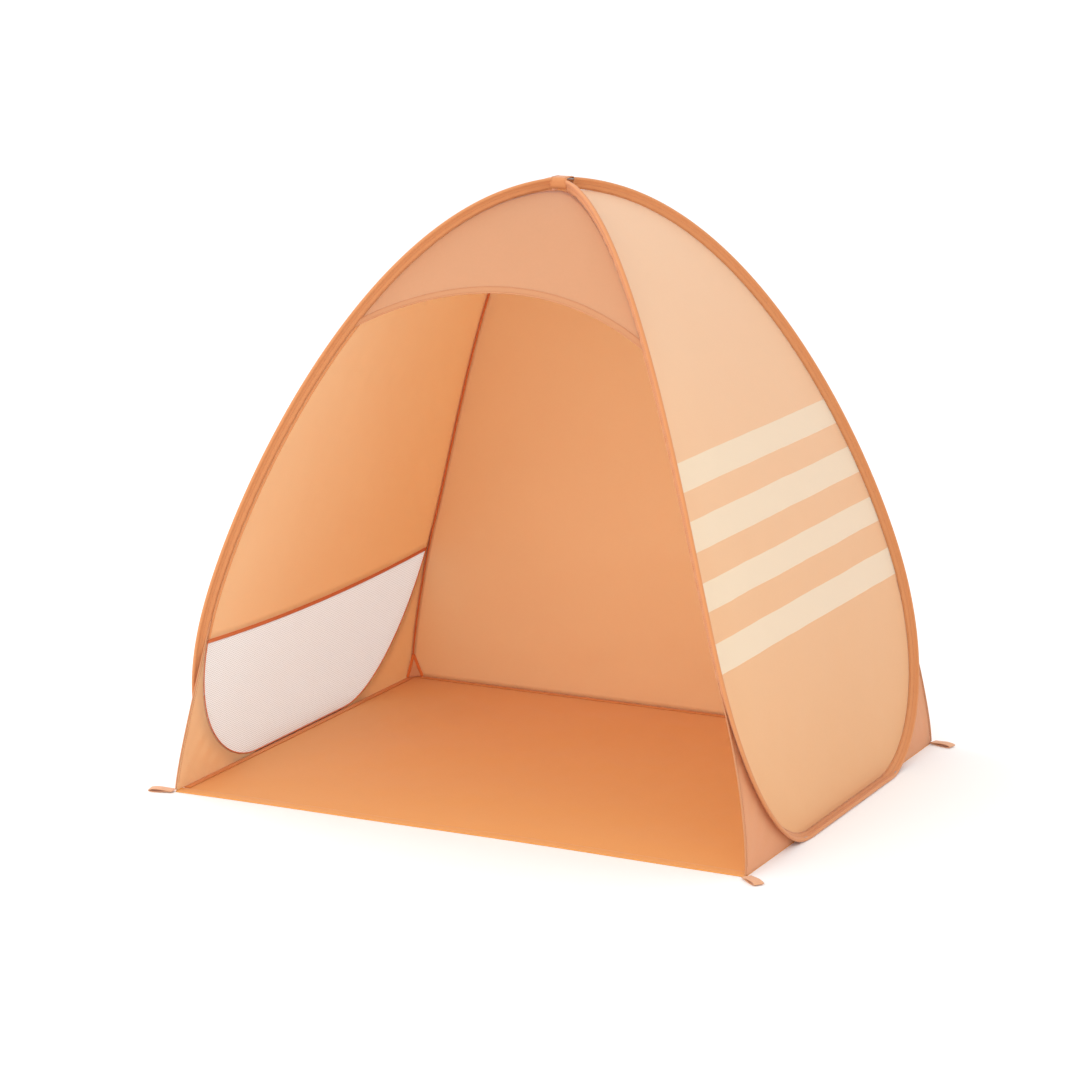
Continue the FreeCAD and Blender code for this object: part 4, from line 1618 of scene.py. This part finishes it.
@dataclass
class Floor:
    """The sewn-in floor with its front hem and its perimeter tape.

    Attributes:
        thickness: The floor cloth's thickness.
        hem: Width of the front hem.
        tape: Width of the tape over the perimeter seam.
    """

    thickness: float = 0.0012
    hem: float = 0.025
    tape: float = 0.012

    def level(self, across: Array, along: Array) -> Array:
        """Return the floor's upper face: gentle ripples that fade at the seams.

        Args:
            across: Places along X.
            along: Places along Y.

        Returns:
            The height there.
        """
        x, y = FORM.half_width, FORM.half_depth
        edge = np.minimum(x - np.abs(across), y - np.abs(along))
        waves = Slack(0.0016, 0.0006, 71).waves(across, along)
        return self.thickness + np.maximum(waves + 0.0009, 0.0) * smooth(edge / 0.12)

    def front(self, across: Array) -> Array:
        """Return the front edge's place along Y: it is drawn in a little between its ends."""
        share = across / FORM.half_width
        return -FORM.half_depth + (0.006 + 0.0018 * np.sin(share * 5.1)) * (1 - share ** 2)

    def grid(self, rows: int, cols: int) -> Array:
        """Return the floor's upper face.

        Args:
            rows: Number of rows from front to back.
            cols: Number of points in a row.

        Returns:
            Rows by columns by 3.
        """
        across = np.linspace(-1, 1, cols)[None] * FORM.half_width * np.ones((rows, 1))
        near = self.front(across) + 0.001
        along = near + (FORM.half_depth - near) * np.linspace(0, 1, rows)[:, None]
        return np.stack([across, along, self.level(across, along)], axis=-1)

    def build(self, wardrobe: Wardrobe) -> list[bpy.types.Object]:
        """Build the floor, hem, tape and stitching.

        Args:
            wardrobe: The finishes to dress them in.

        Returns:
            The new pieces.
        """
        base = sheet_from_grid("floor_base", self.grid(96, 120), self.thickness,
                               np.array([0, 0, 1.0]))
        wardrobe.fit(base, "floor_cloth", "floor_sheet")
        hem, threads = self.build_hem(wardrobe)
        tape = self.build_tape(wardrobe)
        for piece in (base, hem, threads, tape):
            fan(piece)
        declare((1.15, 0.925))
        declare((1.15, 0.0285))
        declare((2.99, 0.0145))
        log.info("floor with its hem and perimeter tape")
        return [base, hem, threads, tape]

    def build_hem(self, wardrobe: Wardrobe) -> tuple[bpy.types.Object, bpy.types.Object]:
        """Build the rolled front hem and its stitching.

        Args:
            wardrobe: The finishes to dress them in.

        Returns:
            The hem and its stitching.
        """
        across = np.linspace(-1, 1, 160) * (FORM.half_width - 0.0005)
        oval = pressed_oval(18, (0.5 * self.hem, 0.00115), (0.35, 0.5))
        rings = np.stack([
            np.repeat(across[:, None], len(oval), 1),
            self.front(across)[:, None] + 0.5 * self.hem + oval[None, :, 0],
            np.broadcast_to(oval[:, 1] + 0.0016, (len(across), len(oval)))], axis=-1)
        hem = wardrobe.fit(ring_piece("floor_hem", rings), "floor_cloth",
                           "floor_front_hem")
        paths = [np.stack([across, self.front(across) + back, np.full(len(across), 0.0029)], axis=1)
                 for back in (0.0035, self.hem - 0.003)]
        threads = wardrobe.fit(stitch_line("floor_hem_stitches", paths), "pale_thread")
        return hem, threads

    def build_tape(self, wardrobe: Wardrobe) -> bpy.types.Object:
        """Build the tape that covers the seam along the floor's sides and back.

        Args:
            wardrobe: The finishes to dress them in.

        Returns:
            The new piece.
        """
        x, y = FORM.half_width - 0.0074, FORM.half_depth - 0.0074
        radius = 0.012
        front = -FORM.half_depth + self.hem + 0.004
        corner = np.linspace(0, math.pi / 2, 8)
        right = np.stack([x - radius + radius * np.cos(corner),
                          y - radius + radius * np.sin(corner)], 1)
        half_path = np.vstack([[[x, front]], right, [[0, y]]])
        left = half_path[::-1] * [-1, 1]
        path = np.vstack([half_path, left[1:]])
        path = along_path(np.column_stack([path, np.zeros(len(path))]), 0.009)
        path[:, 2] = self.thickness + 0.0012
        along = unit(np.gradient(path, axis=0))
        up = np.repeat([[0.0, 0.0, 1.0]], len(path), 0)
        beside = np.cross(up, along)
        section = pressed_oval(14, (0.5 * self.tape, 0.0009), (0.4, 0.6))
        piece = ring_piece("floor_edge_tape", rings_along(path, beside, up, section), True)
        return wardrobe.fit(piece, "edge_tape", "floor_seam_tape")


@dataclass
class CrownTab:
    """The folded tab of tape that wraps the two crossing wires.

    Attributes:
        half_length: Half of its length along X.
        half_width: Half of its width along Y.
    """

    half_length: float = 0.0165
    half_width: float = 0.0182

    def build(self, wardrobe: Wardrobe) -> list[bpy.types.Object]:
        """Build the tab as one soft folded strip over the crossing.

        Args:
            wardrobe: The finishes to dress them in.

        Returns:
            The new pieces.
        """
        low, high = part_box("crown_tab")
        top, foot = float(high[2]), float(low[2])
        turn = np.linspace(-math.pi / 2, math.pi / 2, 45)
        across = np.sign(turn) * np.abs(np.sin(turn)) ** 0.28 * self.half_width
        level = foot + (top - foot) * np.cos(turn) ** 0.42
        level[0] = level[-1] = foot
        rows = np.linspace(-1, 1, 22) * self.half_length
        soft = 0.0010 * np.cos(rows / self.half_length * 1.4)
        grid = np.array([[(x, y, z + s * (0.3 if z > foot + 0.002 else 0.0))
                          for y, z in zip(across, level)] for x, s in zip(rows, soft)])
        grid[..., 2] = np.minimum(grid[..., 2], top)
        tab = sheet_from_grid("crown_fold", grid, 0.0012, np.array([0, 0, 1.0]))
        wardrobe.fit(tab, "channel_tape", "crown_tab")
        paths = [grid[row][3:-3] + np.array([0, 0, 0.0003]) for row in (2, 19)]
        stitches = wardrobe.fit(stitch_line("crown_fold_stitches", paths, pitch=0.003),
                                "thread")
        for piece in (tab, stitches):
            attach(piece, LEFT_BODY)
        declare((0.031, 0.085))
        log.info("crown tab")
        return [tab, stitches]


@dataclass
class PegLoop:
    """A flattened loop of webbing for a ground peg, with its bar-tack.

    Attributes:
        side: The corner's side.
        end: The corner's end.
        turn: Direction the loop points, in degrees from +X.
    """

    side: Side
    end: End
    turn: float
    length: float = 0.046
    width: float = 0.019
    height: float = 0.0062
    stand_off: float = 0.008

    def outline(self) -> Array:
        """Return the loop's closed line, in the direction it points and up."""
        share = np.linspace(0, 2 * math.pi, 72, endpoint=False)
        out = 0.5 * self.length * (1 + np.cos(share)) - 0.004
        fat = 0.35 + 0.65 * smooth(np.clip(out / self.length, 0, 1) * 1.6)
        up = 0.5 * self.height * squashed(np.sin(share), 0.8) * fat
        return np.stack([out, up + self.height / 2 + 0.0004], axis=1)

    def build(self, wardrobe: Wardrobe) -> list[bpy.types.Object]:
        """Build the loop and its bar-tack.

        Args:
            wardrobe: The finishes to dress them in.

        Returns:
            The new pieces.
        """
        name = f"{self.end.word}_{self.side.word}_peg_loop"
        angle = math.radians(self.turn)
        ahead = np.array([math.cos(angle), math.sin(angle), 0.0])
        beside = np.array([-math.sin(angle), math.cos(angle), 0.0])
        corner = np.array([self.side.sign * FORM.half_width, self.end.value * FORM.half_depth, 0.0])
        base = corner + ahead * self.stand_off
        line = self.outline()
        across = np.linspace(-0.5, 0.5, 11) * self.width
        path = base + ahead * line[:, :1] + np.array([0, 0, 1.0]) * line[:, 1:]
        slope = unit(np.gradient(np.vstack([line[-1], line, line[0]]), axis=0)[1:-1])
        normal = np.stack([slope[:, 1], -slope[:, 0]], axis=1)
        face = ahead * normal[:, :1] + np.array([0, 0, 1.0]) * normal[:, 1:]
        half = 0.00055
        ring = np.array([(s, half) for s in across] + [(s, -half) for s in across[::-1]])
        points = rings_along(path, np.broadcast_to(beside, path.shape), face, ring)
        points[..., 2] = np.maximum(points[..., 2], 0.0002)
        rows, cols = points.shape[:2]
        faces = grid_faces(rows, cols, closed=True)
        faces += [((rows - 1) * cols + j, (rows - 1) * cols + (j + 1) % cols, (j + 1) % cols, j)
                  for j in range(cols)]
        loop = wardrobe.fit(new_object(f"{name}_webbing", points.reshape(-1, 3), faces),
                            "webbing", name)
        tack_paths = []
        for step in np.linspace(-0.42, 0.42, 7):
            start = base + beside * step * self.width + ahead * 0.0035
            start = start + np.array([0, 0, self.height * 0.74])
            stop = start + ahead * 0.006 + beside * 0.0016
            tack_paths.append(np.linspace(start, stop, 6))
        tack = wardrobe.fit(stitch_line(f"{name}_tack", tack_paths, pitch=0.0031, radius=0.0003),
                            "thread")
        for piece in (loop, tack):
            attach(piece, name)
        declare((2 * self.length + 0.01, self.width + 0.001))
        log.info("%s", name.replace("_", " "))
        return [loop, tack]


# ---------------------------------------------------------------------------------------------
# Room, light and camera
# ---------------------------------------------------------------------------------------------

@dataclass
class Studio:
    """A plain pale floor, soft light from large panels, and the camera.

    Attributes:
        yaw: Camera's turn from straight ahead towards +X, in degrees.
        pitch: Camera's height above the horizon, in degrees.
        distance: Distance from the target.
        target_level: Height of the target.
        lens: Focal length in mm on a 36 mm sensor.
    """

    yaw: float = 25.98
    pitch: float = 12.2
    distance: float = 6.586
    target_level: float = 0.5175
    lens: float = 117.13
    shift_x: float = -0.0207
    shift_y: float = -0.0356

    def floor(self) -> bpy.types.Object:
        """Add the plain pale floor."""
        size = 9.0
        points = np.array([(-size, -size, 0), (size, -size, 0), (size, size, 0), (-size, size, 0)])
        ground = new_object("studio_floor", points, [(0, 1, 2, 3)])
        ground.data.materials.append(Nodes("studio_paper").finish({
            "Base Color": (0.95, 0.95, 0.95, 1.0), "Roughness": 0.9, "Specular IOR Level": 0.1}))
        return ground

    def sky(self) -> None:
        """Light the whole room with an even soft white."""
        world = bpy.data.worlds.new("studio_world")
        world.use_nodes = True
        back = world.node_tree.nodes["Background"]
        back.inputs["Color"].default_value = (1.0, 1.0, 1.0, 1.0)
        back.inputs["Strength"].default_value = 1.15
        bpy.context.scene.world = world
        bpy.context.scene.view_settings.view_transform = "Standard"

    def panel(self, name: str, place: tuple[float, float, float], size: float, power: float,
              colour: tuple[float, float, float]) -> None:
        """Add a square light panel that faces the shelter.

        Args:
            name: The light's name.
            place: Where it hangs.
            size: Its side.
            power: Its power in watts.
            colour: Its colour.
        """
        light = bpy.data.lights.new(name, "AREA")
        light.shape = "SQUARE"
        light.size = size
        light.energy = power
        light.color = colour
        lamp = bpy.data.objects.new(name, light)
        lamp.location = place
        aim = Vector((0, 0, 0.5)) - Vector(place)
        lamp.rotation_euler = aim.to_track_quat("-Z", "Y").to_euler()
        bpy.context.scene.collection.objects.link(lamp)

    def camera(self) -> None:
        """Add the camera at the viewing angle."""
        yaw, pitch = math.radians(self.yaw), math.radians(self.pitch)
        target = Vector((0, 0, self.target_level))
        away = Vector((math.sin(yaw) * math.cos(pitch), -math.cos(yaw) * math.cos(pitch),
                       math.sin(pitch)))
        data = bpy.data.cameras.new("camera")
        data.lens = self.lens
        data.sensor_width = 36.0
        data.shift_x = self.shift_x
        data.shift_y = self.shift_y
        data.dof.use_dof = False
        eye = bpy.data.objects.new("camera", data)
        eye.location = target + away * self.distance
        eye.rotation_euler = (-away).to_track_quat("-Z", "Y").to_euler()
        bpy.context.scene.collection.objects.link(eye)
        bpy.context.scene.camera = eye

    def build(self) -> None:
        """Build the floor, the light and the camera."""
        self.floor()
        self.sky()
        self.panel("key_panel", (-0.6, -4.6, 2.6), 3.0, 60.0, (1.0, 1.0, 1.0))
        self.panel("side_panel", (-4.0, 0.4, 2.2), 3.0, 60.0, (1.0, 1.0, 1.0))
        self.camera()
        log.info("studio floor, light and camera")


# ---------------------------------------------------------------------------------------------
# The whole shelter
# ---------------------------------------------------------------------------------------------

PEG_TURNS = {
    (Side.LEFT, End.FRONT): 194.0,
    (Side.RIGHT, End.FRONT): 321.0,
    (Side.LEFT, End.BACK): 166.0,
    (Side.RIGHT, End.BACK): 344.0,
}


def main() -> None:
    """Build every piece in order."""
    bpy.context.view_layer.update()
    Studio().build()
    wardrobe = Wardrobe()
    SideWall(Side.RIGHT).build_panel(wardrobe)
    SideWall(Side.LEFT).build_window(wardrobe)
    walls = CrossWalls()
    walls.build_back(wardrobe)
    walls.build_fascia(wardrobe)
    for side in Side:
        HoopTape(side).build(wardrobe)
        for end in End:
            Gusset(side, end).build(wardrobe)
            RibBinding(side, end).build(wardrobe)
        CornerPatch(side).build(wardrobe)
    Floor().build(wardrobe)
    CrownTab().build(wardrobe)
    for (side, end), turn in PEG_TURNS.items():
        PegLoop(side, end, turn).build(wardrobe)
    for node in ("left_hoop_rod", "right_hoop_rod", "rod_ferrule"):
        wardrobe.dress_node(node, "spring_steel_finish")
    log.info("done")


if __name__ == "__main__":
    main()
